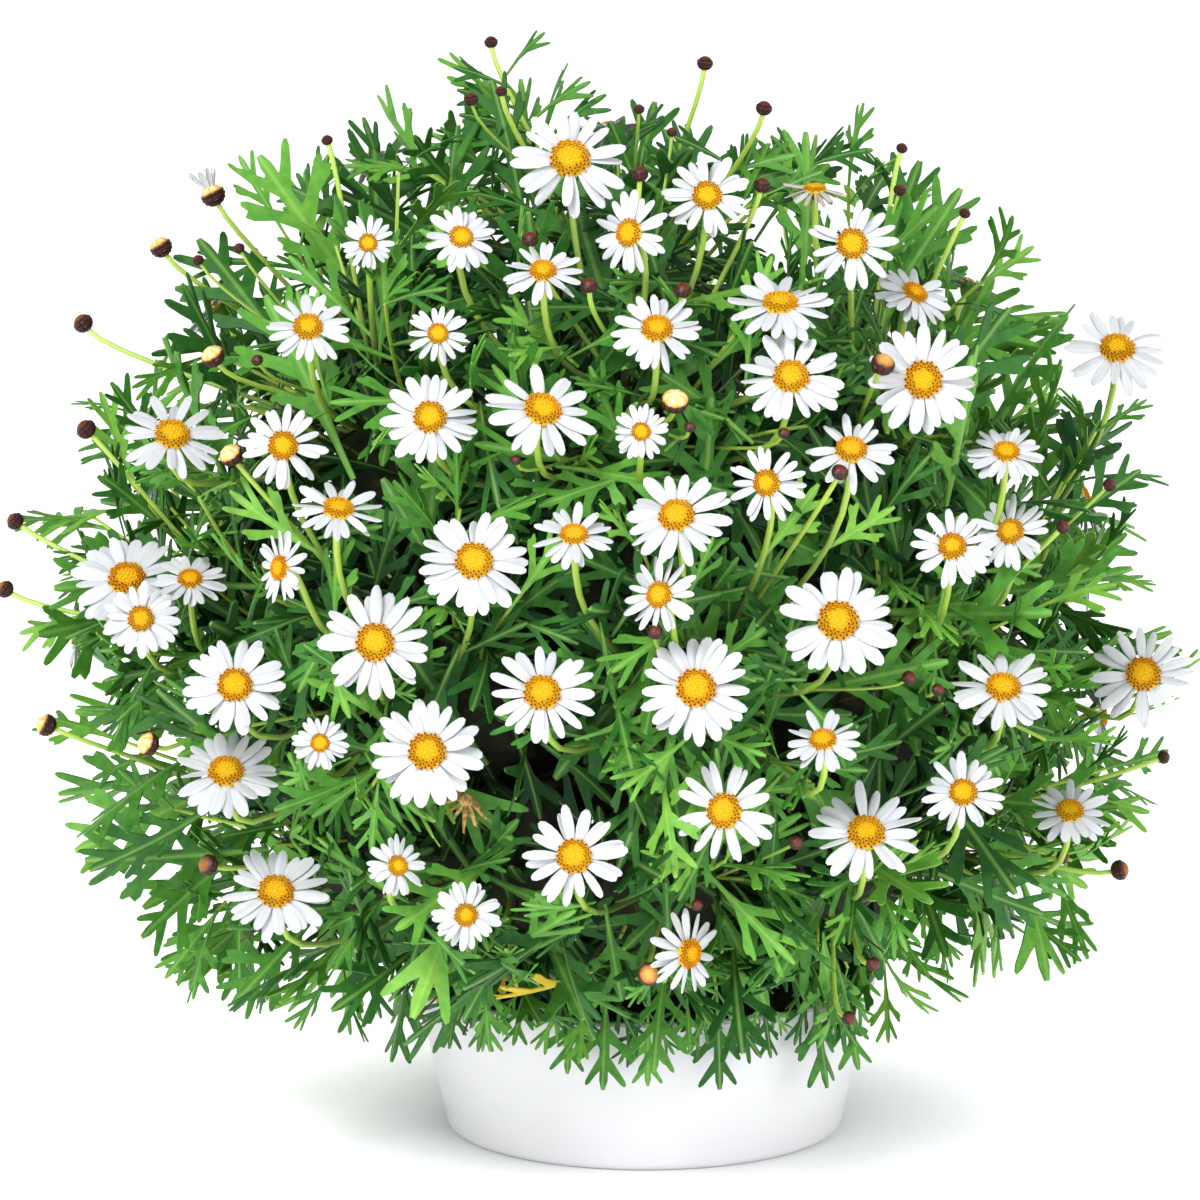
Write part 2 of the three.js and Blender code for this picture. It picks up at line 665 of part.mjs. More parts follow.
function makeBud(flower, path) {
  const radius = flower.wide / 2;
  const [side, across] = squareTo(flower.look);
  const points = [blend([flower.place, 1], [flower.look, radius])];
  const faces = [];
  const ring = [];
  for (let i = 0; i < BUD_SIDES; i += 1) {
    const turn = (2 * Math.PI * i) / BUD_SIDES;
    points.push(blend([flower.place, 1], [side, radius * Math.cos(turn)], [across, radius * Math.sin(turn)]));
    faces.push([0, 1 + i, 1 + ((i + 1) % BUD_SIDES)]);
    ring.push(1 + i);
  }
  addStalk(points, faces, ring, path, BUD_STALK_RADIUS, flower.look);
  return solid(points, faces);
}

// The stalk's path: its neck behind the flower, a knee below that, and the fork on the shoot
function stalkPath(flower, drop) {
  const radius = flower.wide / 2;
  const neck = flower.head ? radius * NECK_DEPTH : radius;
  const forkStart = flower.shoot.reach * STEM_TIP + GAP + FORK_FOOT;
  const fork = onAxis(flower.shoot, forkStart + FORK_STEP * flower.order);
  const top = blend([flower.place, 1], [flower.look, -neck]);
  if (!flower.head) return [top, fork];
  return [top, blend([flower.place, 1], [flower.look, -neck - STALK_SET_BACK], [UP, -drop]), fork];
}

function makeFlower(flower, drop) {
  const path = stalkPath(flower, drop);
  return flower.head ? makeHead(flower, path) : makeBud(flower, path);
}

function makeFork(shoot, count) {
  const start = shoot.reach * STEM_TIP + GAP;
  const end = onAxis(shoot, start + FORK_FOOT + FORK_STEP * count);
  return bar(onAxis(shoot, start), end, [FORK_RADIUS, FORK_RADIUS], STEM_SIDES, shoot.axes);
}

// Whether a piece keeps a given distance from all the others
function isClear(piece, others, distance = GAP) {
  const box = piece.boundingBox();
  return others.every((other) => {
    const room = other.boundingBox();
    const apart = [0, 1, 2].some(
      (k) => box.min[k] > room.max[k] + distance || room.min[k] > box.max[k] + distance,
    );
    return apart || piece.minGap(other, 2 * distance) > distance;
  });
}

// Whether a stem with some leaves neither crosses itself nor comes too near its own flowers
function standsFree(shoot, plans, spray) {
  const stem = makeLeafyStem(shoot, plans);
  const crossing = Math.abs(stem.add(stem).volume() - stem.volume());
  return crossing < SMALLEST_FEATURE && isClear(stem, spray ? [spray] : [], OWN_GAP);
}

// The pieces, in the order in which they make room for each other
const pot = makePot();
const soil = makeSoil();
const woodyBase = makeWoodyBase();
const cones = shoots.map((shoot) => makeLeafyStem(shoot, []));

// Each flower takes the longest drop of its stalk that keeps clear of the flowers of other shoots
for (const flower of flowers) {
  const others = flowers.filter((other) => other.shoot !== flower.shoot && other.body);
  const bodies = [pot, soil, ...others.map((other) => other.body)];
  const drop = STALK_DROPS.find((depth) => {
    const body = makeFlower(flower, depth);
    return isClear(body, bodies) && isClear(body, cones, CONE_ROOM);
  });
  flower.body = makeFlower(flower, drop ?? 0);
}
const sprays = shoots.map((shoot) => {
  const own = flowers.filter((flower) => flower.shoot === shoot).map((flower) => flower.body);
  return own.length > 0 ? wasm.Manifold.union([makeFork(shoot, own.length), ...own]) : undefined;
});

// Each leaf takes the first try that keeps clear of everything already there
const blades = [];
const plans = shoots.map(() => []);
for (let leaf = 0; leaf < LEAVES; leaf += 1) {
  shoots.forEach((shoot, k) => {
    const others = [pot, soil, woodyBase, ...sprays.filter(Boolean), ...blades];
    const masses = cones.filter((_, other) => other !== k);
    const tries = Array.from({ length: LEAF_TRIES }, (_, attempt) => planLeaf(shoot, leaf, attempt));
    const plan = tries.find((choice) => {
      const blade = makeLeaf(choice);
      const alone = [];
      alone[leaf] = choice;
      const apart = isClear(blade, others) && isClear(blade, masses, CONE_ROOM);
      return apart && standsFree(shoot, alone, sprays[k]);
    });
    plans[k].push(plan);
    if (plan) blades.push(makeLeaf(plan));
  });
}

// Where leaves of one stem meet each other, the first one that frees the stem is left out
shoots.forEach((shoot, k) => {
  if (standsFree(shoot, plans[k], sprays[k])) return;
  const without = (leaf) => plans[k].map((plan, i) => (i === leaf ? undefined : plan));
  const spare = plans[k].findIndex((_, leaf) => standsFree(shoot, without(leaf), sprays[k]));
  plans[k] = without(spare);
});

// Colours and finishes
const finish = (color, roughness) => new THREE.MeshStandardMaterial({ color, roughness, metalness: 0 });
const POT_GLAZE = finish(0xf2f1f5, 0.35);
const SOIL_DARK = finish(0x2e241d, 0.95);
const BARK = finish(0x6b5236, 0.9);
const LEAF_GREEN = finish(0x3f8f2e, 0.6);
const RAY_WHITE = finish(0xf6f6fa, 0.7);

function addMesh(group, name, body, material) {
  const mesh = body.simplify(SMALLEST_FEATURE).getMesh();
  const geometry = new THREE.BufferGeometry();
  geometry.setAttribute('position', new THREE.BufferAttribute(mesh.vertProperties, mesh.numProp));
  geometry.setIndex(new THREE.BufferAttribute(mesh.triVerts, 1));
  geometry.computeVertexNormals();
  const piece = new THREE.Mesh(geometry, material);
  piece.name = name;
  group.add(piece);
}

const plant = new THREE.Group();
plant.name = 'potted_marguerite';
addMesh(plant, 'pot', pot, POT_GLAZE);
addMesh(plant, 'soil', soil, SOIL_DARK);
addMesh(plant, 'woody_base', woodyBase, BARK);
shoots.forEach((shoot, i) => {
  const label = String(shoot.number).padStart(2, '0');
  addMesh(plant, `leafy_stem_${label}`, makeLeafyStem(shoot, plans[i]), LEAF_GREEN);
  if (sprays[i]) addMesh(plant, `flower_spray_${label}`, sprays[i], RAY_WHITE);
});

export default plant;
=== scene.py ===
"""A bushy marguerite daisy in a shallow white pot, dressed over its solids.

Blender works in metres. Places on the plant are worked out in millimetres by the same rules as its
solids, and turned into metres where a mesh is made.
"""

import math

import bmesh
import bpy
import numpy as np
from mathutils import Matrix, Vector
from mathutils.kdtree import KDTree


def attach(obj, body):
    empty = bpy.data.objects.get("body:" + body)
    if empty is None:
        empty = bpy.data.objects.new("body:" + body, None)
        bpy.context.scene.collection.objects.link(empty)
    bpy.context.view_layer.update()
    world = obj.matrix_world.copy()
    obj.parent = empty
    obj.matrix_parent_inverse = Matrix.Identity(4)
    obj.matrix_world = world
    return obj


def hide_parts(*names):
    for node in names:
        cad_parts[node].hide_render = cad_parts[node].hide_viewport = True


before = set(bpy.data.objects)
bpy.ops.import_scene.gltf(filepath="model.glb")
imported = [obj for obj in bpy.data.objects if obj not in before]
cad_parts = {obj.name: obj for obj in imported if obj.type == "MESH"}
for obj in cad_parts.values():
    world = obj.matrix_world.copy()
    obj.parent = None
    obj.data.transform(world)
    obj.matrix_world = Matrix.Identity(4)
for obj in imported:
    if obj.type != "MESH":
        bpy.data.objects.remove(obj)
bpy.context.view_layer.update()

MM = 0.001

# The turn, in degrees, between one and the next of things that are spread evenly
GOLDEN_ANGLE = 137.508

# The pot
POT_HEIGHT = 73
POT_RIM_RADIUS = 108
POT_FLAT_RADIUS = 84
POT_HEEL_RADIUS = 93
POT_HEEL_HEIGHT = 8
POT_WALL = 4
POT_FLOOR = 6

# The soil and the root crown
SOIL_MOUND = 63
CROWN_RADIUS = 15

# The bush: its middle, how far out its flowers and leaves stand, and the hub that it branches from
BUSH_CENTRE = Vector((-18, 0, 250))
FLOWER_SHELL = 252
LEAF_SHELL = 267
LEAF_SHELL_VARIES = 5
HUB = Vector((-10, 0, 165))
LOWEST_LEAF_TIP = 46

# Main shoots, in rings: how far each ring leans, in degrees, and how many it has
SHOOT_RINGS = ((0, 1), (36, 6), (68, 9), (98, 11))
STEM_START = 70
STEM_TIP = 0.6
RIM_SPREAD = 13.5
RIM_LOW = 0.68
RIM_HIGH = 0.8

# The large leaves on a main shoot's rim, and how near a planned tip lies to the corner that is its own
LEAVES = 8
SAME_CORNER = 0.1
LEAF_TRIES = 20
LEAF_TRY_SHORTER = 0.02
INWARD_LEAN = (-48, -6)
OUTWARD_LEAN = (18, 52)
LEAF_SWING = 24
LEAF_ROLL = 25
LEAF_LENGTH = (46, 90)
LEAF_DROOP = 0.9
DROOP_BELOW = 0.3
DROOP_FULL = 0.6
LEAF_ARCH = (0.05, 0.17)
LEAF_KEEL = 0.3

# Flower heads and their stalks
DISC_SHARE = 0.33
NECK_DEPTH = 0.3
STALK_RADIUS = 1.2
BUD_STALK_RADIUS = 1
STALK_SET_BACK = 10
STALK_DROPS = (30, 20, 10, 0)
FORK_RADIUS = 2.6
FORK_FOOT = 5
FORK_STEP = 4
GAP = 0.4
BUD_LIFT = 0.7

# The photograph's viewpoint
VIEW_ELEVATION = 10
VIEW_DISTANCE = 3200
VIEW_AIM = Vector((-20.7, 0, 247))
PICTURE_MIDDLE = 600
PICTURE_WIDTH = 1200
MM_PER_PIXEL = 0.46
SENSOR_WIDTH = 36

# Heads on the photographed side: the disc's pixel across and down, the width over the rays, degrees up
# and to the right that the head looks, and how far it stands back along the line of sight
HEADS = (
    (570, 160, 53, 25, 0, 0),
    (707, 196, 39, 15, 0, 0),
    (368, 243, 25, 5, 0, 0),
    (461, 238, 32, 25, 10, 0),
    (630, 233, 37, 5, -32, 0),
    (543, 272, 35, 40, 0, 0),
    (852, 244, 41, 8, 0, 0),
    (815, 190, 30, 70, 0, 45),
    (780, 305, 46, 54, 0, 0),
    (657, 330, 41, 35, 0, 0),
    (308, 328, 39, 30, 0, 0),
    (438, 334, 28, 15, 0, 0),
    (914, 294, 35, 40, 30, 30),
    (1117, 350, 49, 40, 0, 0),
    (791, 378, 47, 28, 0, 0),
    (923, 380, 50, 5, 0, 0),
    (430, 418, 43, 18, 0, 0),
    (542, 411, 49, 35, 15, 0),
    (172, 436, 47, 38, 10, 0),
    (283, 446, 39, 10, 0, 0),
    (641, 432, 25, 10, 0, 0),
    (851, 451, 41, 40, 0, 0),
    (1006, 453, 35, 42, 0, 0),
    (767, 483, 35, 5, -15, 0),
    (338, 510, 40, 50, 10, 0),
    (677, 517, 47, 32, -10, 0),
    (1011, 532, 36, 20, -15, 22),
    (952, 547, 37, 22, 0, 0),
    (574, 536, 36, 45, 0, 0),
    (474, 562, 49, 20, 0, 0),
    (281, 568, 33, 5, -48, 0),
    (127, 580, 50, 35, 0, 20),
    (190, 580, 33, 42, 0, 42),
    (141, 619, 35, 10, 0, 0),
    (660, 595, 35, 10, -25, 0),
    (838, 622, 53, 20, 0, 0),
    (375, 643, 50, 12, 0, 0),
    (235, 686, 46, 20, 0, 0),
    (542, 694, 48, 25, 0, 0),
    (696, 689, 51, 18, 0, 0),
    (1003, 689, 46, 40, 0, 0),
    (1143, 675, 48, 18, 0, 0),
    (320, 743, 25, 5, 0, 0),
    (427, 752, 49, 15, 0, 0),
    (823, 741, 35, 42, -10, 0),
    (226, 773, 47, 38, 0, 0),
    (725, 811, 46, 8, -18, 0),
    (963, 793, 37, 22, 0, 0),
    (866, 834, 49, 32, 0, 0),
    (1070, 812, 37, 42, 0, 0),
    (574, 857, 46, 18, 0, 0),
    (397, 866, 28, 10, 25, 0),
    (276, 893, 48, 30, 0, 0),
    (466, 915, 31, 5, 0, 0),
    (688, 953, 39, -5, 45, 0),
)

# Buds on the photographed side: pixel across and down, width, and how far back
BUDS = (
    (161, 247, 10, 0, 0.9),
    (213, 195, 11, 0, 1.5),
    (213, 356, 10, 0, 1.0),
    (231, 455, 10, 0, 1.0),
    (83, 323, 9, 0, 0.25),
    (86, 429, 9, 0, 0.15),
    (15, 521, 8, 0, 0.2),
    (5, 589, 8, 0, 0.35),
    (46, 725, 10, 0, 0.9),
    (148, 744, 10, 15, 1.0),
    (208, 865, 9, 0, 0.3),
    (675, 401, 11, 0, 1.0),
    (883, 364, 10, 0, 0.5),
    (649, 974, 10, 0, 0.5),
    (1120, 870, 9, 0, 0.35),
    (491, 42, 6, 0, 0),
    (501, 91, 5, 0, 0),
    (327, 140, 5, 0, 0),
    (705, 63, 7, 0, 0),
    (764, 108, 7, 0, 0),
    (762, 185, 7, 0, 0),
    (640, 174, 7, 0, 0),
    (902, 148, 5, 0, 0),
    (965, 213, 5, 0, 0),
    (530, 239, 7, 0, 0),
    (589, 285, 7, 0, 0),
    (683, 290, 7, 0, 0),
    (840, 472, 7, -7, 0),
    (1063, 527, 6, 0, 0),
    (849, 1018, 6, 0, 0),
    (873, 964, 6, 0, 0),
    (1164, 757, 6, 0, 0),
    (1063, 857, 6, 0, 0),
)

# Small buds on the photographed side: the pixel across and down
SMALL_BUDS = (
    (471, 99), (639, 109), (672, 132), (900, 190), (239, 248), (198, 260), (257, 360), (516, 460),
    (690, 427), (1110, 485), (938, 690), (697, 905), (784, 433), (909, 678), (796, 843), (655, 632),
)
SMALL_BUD_WIDTHS = (4.2, 6.4)
TUFT_RAYS = 9

# Heads and buds away from the viewer, spread evenly by a rule
ROUND_POINTS = 64
ROUND_LOWEST = -0.5
ROUND_TURN = 0.1
ROUND_CLEAR = 8
ROUND_WIDTHS = (32, 50)
ROUND_LIFT = 0.35
ROUND_BUD_EVERY = 4
ROUND_BUD_WIDTH = 8

UP = Vector((0, 0, 1))
VIEW_RIGHT = Vector((1, 0, 0))
LEAN_BACK = math.radians(VIEW_ELEVATION)
TO_VIEWER = Vector((0, -math.cos(LEAN_BACK), math.sin(LEAN_BACK)))
VIEW_UP = Vector((0, math.sin(LEAN_BACK), math.cos(LEAN_BACK)))


def share(first, second):
    """An even, repeatable share between 0 and 1 for a pair of whole numbers"""
    wave = math.sin(first * 127.1 + second * 311.7) * 43758.5453
    return wave - math.floor(wave)


def mix(low, high, part):
    return low + (high - low) * part


def clamp(value, low, high):
    return min(max(value, low), high)


def blend(*terms):
    """A sum of vectors, each with its own factor"""
    total = Vector((0, 0, 0))
    for vector, factor in terms:
        total += vector * factor
    return total


def square_to(direction):
    """Two directions square to a given one and to each other"""
    helper = VIEW_RIGHT if abs(direction.z) > 0.99 else UP
    side = helper.cross(direction).normalized()
    return side, direction.cross(side)


def turned(start, end, turn):
    """A direction turned by an angle from one direction towards another that is square to it"""
    return start * math.cos(turn) + end * math.sin(turn)


def squared(face, along):
    """A direction of length one, made square to another"""
    return (face - along * along.dot(face)).normalized()


def even_direction(i, count, start=0):
    """One of many directions spread evenly over a ball, from its top down"""
    height = 1 - 2 * (i + 0.5) / count
    turn = math.radians(GOLDEN_ANGLE * i + start)
    flat = math.sqrt(1 - height * height)
    return Vector((flat * math.cos(turn), flat * math.sin(turn), height))


def reach_to(start, direction, radius):
    """How far a line runs before it leaves the ball of the given radius round the bush's middle"""
    offset = start - BUSH_CENTRE
    along = offset.dot(direction)
    return math.sqrt(along * along + radius * radius - offset.length_squared) - along


class Shoot:
    """A main shoot: its direction from the hub, two directions square to that, and its reach"""

    def __init__(self, number, lean, around):
        self.number = number
        flat = math.sin(lean)
        self.axis = Vector((flat * math.cos(around), flat * math.sin(around), math.cos(lean)))
        self.side, self.across = square_to(self.axis)
        self.reach = reach_to(HUB, self.axis, FLOWER_SHELL)
        self.label = f"{number:02d}"

    def off_axis(self, off, around):
        off = math.radians(off)
        around = math.radians(around)
        return blend(
            (self.axis, math.cos(off)),
            (self.side, math.sin(off) * math.cos(around)),
            (self.across, math.sin(off) * math.sin(around)),
        )

    def on_axis(self, distance):
        return HUB + self.axis * distance


def plan_shoots():
    shoots = []
    for level, (lean, count) in enumerate(SHOOT_RINGS):
        for i in range(count):
            around = math.radians(360 * (i + level / 2) / count)
            shoots.append(Shoot(len(shoots) + 1, math.radians(lean), around))
    return shoots


SHOOTS = plan_shoots()


def shoot_towards(place):
    """The main shoot that points nearest to a place"""
    direction = (place - HUB).normalized()
    return max(SHOOTS, key=lambda shoot: shoot.axis.dot(direction))


class LeafPlan:
    """Where a leaf roots, how it points, which way its upper side looks, its length and its arch"""

    def __init__(self, base, along, face, length, arch):
        self.base = base
        self.along = along
        self.face = face
        self.length = length
        self.arch = arch

    def point(self, along, out=0, keel=LEAF_KEEL):
        side = self.face.cross(self.along)
        drop = self.arch * along * along + keel * abs(out)
        return blend(
            (self.base, 1),
            (self.along, along * self.length),
            (side, out * self.length),
            (self.face, -drop * self.length),
        )


def plan_rim_leaf(shoot, leaf, attempt):
    """One of the ways in which a large leaf may stand on its shoot's rim"""
    seed = shoot.number * LEAVES + leaf
    around = 360 * leaf / LEAVES
    radial = shoot.off_axis(RIM_SPREAD, around)
    outward = shoot.off_axis(90, around)
    height = mix(RIM_LOW, RIM_HIGH, share(seed, 1))
    base = HUB + radial * (reach_to(HUB, radial, FLOWER_SHELL) * height)
    lean = math.radians(mix(*(INWARD_LEAN if leaf % 2 else OUTWARD_LEAN), share(seed, 2 + attempt)))
    swing = math.tan(math.radians(LEAF_SWING * (2 * share(seed, 22 + attempt) - 1)))
    sag = LEAF_DROOP * clamp(DROOP_BELOW - radial.z, 0, DROOP_FULL)
    tangent = shoot.axis.cross(outward)
    along = blend((radial, math.cos(lean)), (outward, math.sin(lean)), (tangent, swing), (UP, -sag))
    along.normalize()
    length = reach_to(base, along, LEAF_SHELL + LEAF_SHELL_VARIES * share(seed, 42))
    if along.z < 0:
        length = min(length, (base.z - LOWEST_LEAF_TIP) / -along.z)
    length = clamp(length * (1 - LEAF_TRY_SHORTER * attempt), *LEAF_LENGTH)
    level = blend((outward, -1), (along, outward.dot(along))).normalized()
    roll = math.radians(LEAF_ROLL * (2 * share(seed, 43) - 1))
    face = blend((level, math.cos(roll)), (level.cross(along), math.sin(roll)))
    return LeafPlan(base, along, face, length, mix(*LEAF_ARCH, share(seed, 44)))


def corner_tree(node):
    """The corners of a solid, in millimetres, for looking up the nearest"""
    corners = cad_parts[node].data.vertices
    tree = KDTree(len(corners))
    for i, corner in enumerate(corners):
        tree.insert(corner.co / MM, i)
    tree.balance()
    return tree


def standing_leaves(shoot):
    """The large leaves that the shoot's solid has: each is the plan whose tip is one of its corners"""
    tree = corner_tree(f"leafy_stem_{shoot.label}")
    found = []
    for leaf in range(LEAVES):
        for attempt in range(LEAF_TRIES):
            plan = plan_rim_leaf(shoot, leaf, attempt)
            if tree.find(plan.point(1))[2] < SAME_CORNER:
                found.append(plan)
                break
    return found


class Flower:
    """A head or bud: its place, the way it looks, its width, and the shoot that carries it"""

    def __init__(self, place, look, wide, head, seen, tip=0):
        self.place = place
        self.look = look
        self.wide = wide
        self.head = head
        self.seen = seen
        self.tip = tip
        self.shoot = shoot_towards(place)
        self.off = 1 - self.shoot.axis.dot((place - HUB).normalized())

    def stalk_path(self, drop):
        neck = self.wide / 2 * (NECK_DEPTH if self.head else 1)
        start = self.shoot.reach * STEM_TIP + GAP + FORK_FOOT
        fork = self.shoot.on_axis(start + FORK_STEP * self.order)
        top = self.place - self.look * neck
        if not self.head:
            return [top, fork]
        return [top, self.place - self.look * (neck + STALK_SET_BACK) - UP * drop, fork]


def place_mark(px, py, back):
    """Where the line of sight through a pixel meets the ball of flowers, or passes nearest its middle"""
    eye = VIEW_AIM + TO_VIEWER * VIEW_DISTANCE
    sight = blend(
        (TO_VIEWER, -VIEW_DISTANCE),
        (VIEW_RIGHT, (px - PICTURE_MIDDLE) * MM_PER_PIXEL),
        (VIEW_UP, (PICTURE_MIDDLE - py) * MM_PER_PIXEL),
    ).normalized()
    to_centre = BUSH_CENTRE - eye
    along = to_centre.dot(sight)
    miss = to_centre.length_squared - along * along
    half = math.sqrt(max(0, FLOWER_SHELL * FLOWER_SHELL - miss))
    return eye + sight * (along - half + back)


def face_viewer(up, right):
    up = math.radians(up)
    right = math.radians(right)
    return blend(
        (TO_VIEWER, math.cos(up) * math.cos(right)),
        (VIEW_RIGHT, math.cos(up) * math.sin(right)),
        (VIEW_UP, math.sin(up)),
    )


def bud_look(place):
    away = (place - BUSH_CENTRE).normalized()
    return blend((away, 1), (UP, BUD_LIFT)).normalized()


def plan_flowers():
    flowers = []
    for px, py, wide, up, right, back in HEADS:
        flowers.append(Flower(place_mark(px, py, back), face_viewer(up, right), wide, True, True))
    for px, py, wide, back, tip in BUDS:
        place = place_mark(px, py, back)
        flowers.append(Flower(place, bud_look(place), wide, False, True, tip))
    for i in range(ROUND_POINTS):
        away = even_direction(i, ROUND_POINTS, 360 * ROUND_TURN)
        place = BUSH_CENTRE + away * FLOWER_SHELL
        head = i % ROUND_BUD_EVERY != 0
        wide = mix(*ROUND_WIDTHS, share(i, 7)) if head else ROUND_BUD_WIDTH
        hidden = away.dot(TO_VIEWER) <= 0 and away.z >= ROUND_LOWEST
        crowded = any((one.place - place).length < (one.wide + wide) / 2 + ROUND_CLEAR for one in flowers)
        if hidden and not crowded:
            look = blend((away, 1), (UP, ROUND_LIFT)).normalized()
            flowers.append(Flower(place, look, wide, head, False))
    for shoot in SHOOTS:
        own = sorted((f for f in flowers if f.shoot is shoot), key=lambda flower: -flower.off)
        for order, flower in enumerate(own):
            flower.order = order
    return flowers


def settle_stalks(flowers):
    """Gives every stalk the drop that its solid has, found by the solid's corners round its knee"""
    trees = {}
    for flower in flowers:
        label = flower.shoot.label
        if label not in trees:
            trees[label] = corner_tree(f"flower_spray_{label}")
        tree = trees[label]
        drops = STALK_DROPS if flower.head else (0,)
        miss = {drop: abs(tree.find(flower.stalk_path(drop)[1])[2] - STALK_RADIUS) for drop in drops}
        flower.path = flower.stalk_path(min(drops, key=miss.get))


FLOWERS = plan_flowers()
settle_stalks(FLOWERS)


# How near a corner or face must lie to count as one of a row, and where rows wait for their turn
NEAR = 0.01
ASIDE = 9


class Shape:
    """A small closed shape that is modelled once and copied many times, with a mark on each corner"""

    def __init__(self, mark=None):
        mesh = bpy.context.object.data
        self.points = np.array([v.co for v in mesh.vertices], float)
        self.corners = np.array([i for face in mesh.polygons for i in face.vertices], int)
        self.sizes = np.array([len(face.vertices) for face in mesh.polygons], int)
        self.marks = mark(self.points) if mark else self.points.copy()
        bpy.data.objects.remove(bpy.context.object, do_unlink=True)


def deselect():
    bpy.ops.object.select_all(action="DESELECT")


def edit():
    bpy.ops.object.mode_set(mode="EDIT")


def leave_edit():
    bpy.ops.object.mode_set(mode="OBJECT")


def select_all():
    bpy.ops.mesh.select_all(action="SELECT")


def close_shape():
    """Turns the faces outwards and leaves edit mode"""
    select_all()
    bpy.ops.mesh.normals_make_consistent(inside=False)
    leave_edit()


def pick(kind, test):
    """In edit mode, selects the corners, edges or faces whose middle passes a test"""
    bpy.ops.mesh.select_mode(type={"verts": "VERT", "edges": "EDGE", "faces": "FACE"}[kind])
    bpy.ops.mesh.select_all(action="DESELECT")
    shape = bmesh.from_edit_mesh(bpy.context.object.data)
    for item in getattr(shape, kind):
        corners = [item] if kind == "verts" else item.verts
        if test(sum((corner.co for corner in corners), Vector()) / len(corners)):
            item.select_set(True)
    shape.select_flush_mode()
    bmesh.update_edit_mesh(bpy.context.object.data)


def pick_nearest_edge(spot):
    """Selects the one border edge whose middle is nearest to a spot"""
    bpy.ops.mesh.select_mode(type="EDGE")
    bpy.ops.mesh.select_all(action="DESELECT")
    shape = bmesh.from_edit_mesh(bpy.context.object.data)
    border = [edge for edge in shape.edges if edge.is_boundary]
    best = min(border, key=lambda edge: ((edge.verts[0].co + edge.verts[1].co) / 2 - spot).length)
    best.select_set(True)
    shape.select_flush_mode()
    bmesh.update_edit_mesh(bpy.context.object.data)
    return (best.verts[0].co + best.verts[1].co) / 2, best.calc_length()


def harden(modifier_type, **settings):
    """Adds a modifier to the shape in hand and applies it"""
    modifier = bpy.context.object.modifiers.new(modifier_type.title(), modifier_type)
    for key, value in settings.items():
        setattr(modifier, key, value)
    bpy.ops.object.modifier_apply(modifier=modifier.name)


def extrude(move, size=1.0, turn=0.0, centre=None):
    """Extrudes what is selected, then sizes and turns it about its new middle"""
    bpy.ops.mesh.extrude_region_move(TRANSFORM_OT_translate={"value": move})
    if centre is not None and size != 1.0:
        bpy.ops.transform.resize(value=(size, size, size), center_override=centre)
    if centre is not None and turn:
        bpy.ops.transform.rotate(value=turn, orient_axis="Z", center_override=centre)


def start_strip(columns, rows):
    """Starts a flat shape from a grid, one unit along +Y, with a line of corners for each row"""
    deselect()
    bpy.ops.mesh.primitive_grid_add(
        x_subdivisions=columns, y_subdivisions=len(rows) - 1, size=1, location=(0, 0.5, 0)
    )
    bpy.ops.object.transform_apply(location=True)
    edit()


def place_rows(rows):
    """Moves the grid aside and brings its rows back one by one, each to its place and its half width"""
    steps = len(rows) - 1
    select_all()
    bpy.ops.transform.translate(value=(0, -ASIDE, 0))
    for k, (along, half) in enumerate(rows):
        start = k / steps - ASIDE
        pick("verts", lambda spot, start=start: abs(spot.y - start) < NEAR)
        bpy.ops.transform.resize(value=(half / 0.5, 1, 1), center_override=(0, start, 0))
        bpy.ops.transform.translate(value=(0, along - start, 0))


def start_ring(sides, radius, height=0):
    """Starts a shape from a filled ring"""
    deselect()
    place = (0, 0, height)
    bpy.ops.mesh.primitive_circle_add(vertices=sides, radius=radius, fill_type="NGON", location=place)
    bpy.ops.object.transform_apply(location=True)
    edit()


def draw_up(height, steps):
    """Draws the topmost face of a shape up from a height in steps, each a rise and a size"""
    for rise, size in steps:
        height += rise
        pick("faces", lambda spot, low=height - rise: spot.z > low - NEAR)
        extrude((0, 0, rise), size, 0, (0, 0, height))


def model_blade(rows, lobes, tip, thickness):
    """A cut leaf along +Y, one unit long: a rib that widens from its stalk, with rounded, toothed lobes"""
    start_strip(2, rows)
    place_rows(rows)
    for foot, joint, end, widths, tooth in lobes:
        for side in (-1, 1):
            grow_lobe([Vector((side * x, y, 0)) for x, y in (foot, joint, end)], widths, tooth, side)
    top_along, top_half = rows[-1]
    pick("edges", lambda spot: abs(spot.y - top_along) < 0.001 and abs(spot.x) < top_half)
    for rise, size in tip:
        top_along += rise
        extrude((0, rise, 0), size, 0, (0, top_along, 0))
    close_shape()
    harden("SOLIDIFY", thickness=thickness, offset=0.0)
    return Shape()


def grow_lobe(spots, widths, tooth, side):
    """One finger of a leaf: two steps out from the rib's side, a rounded end and a tooth on its edge"""
    foot, joint, end = spots
    middle, length = pick_nearest_edge(foot)
    way = (joint - middle).normalized()
    turn = side * math.atan2(way.y, abs(way.x)) * 0.75
    extrude(tuple(joint - middle), widths[0] / length, -turn, tuple(joint))
    way = (end - joint).normalized()
    extrude(tuple(end - joint), widths[1] / widths[0], 0, tuple(end))
    rounding = way * widths[1] * 0.75
    extrude(tuple(rounding), 0.4, 0, tuple(end + rounding))
    if tooth:
        outward = Vector((way.y, -way.x, 0)) * side
        middle = pick_nearest_edge(joint.lerp(end, 0.5) + outward * widths[0] / 2)[0]
        step = (way + outward * 0.8).normalized() * tooth
        extrude(tuple(step), 0.35, 0, tuple(middle + step))


# A ray's rows, each a place along it and its half width there, and its ridges, blunt corners and notch
RAY_ROWS = ((0, 0.05), (0.2, 0.1), (0.47, 0.143), (0.7, 0.143), (0.89, 0.112), (1, 0.056))
RAY_RIDGE = 0.022
RAY_CORNER_BACK = 0.03
RAY_NOTCH = 0.018
RAY_THICKNESS = 0.018


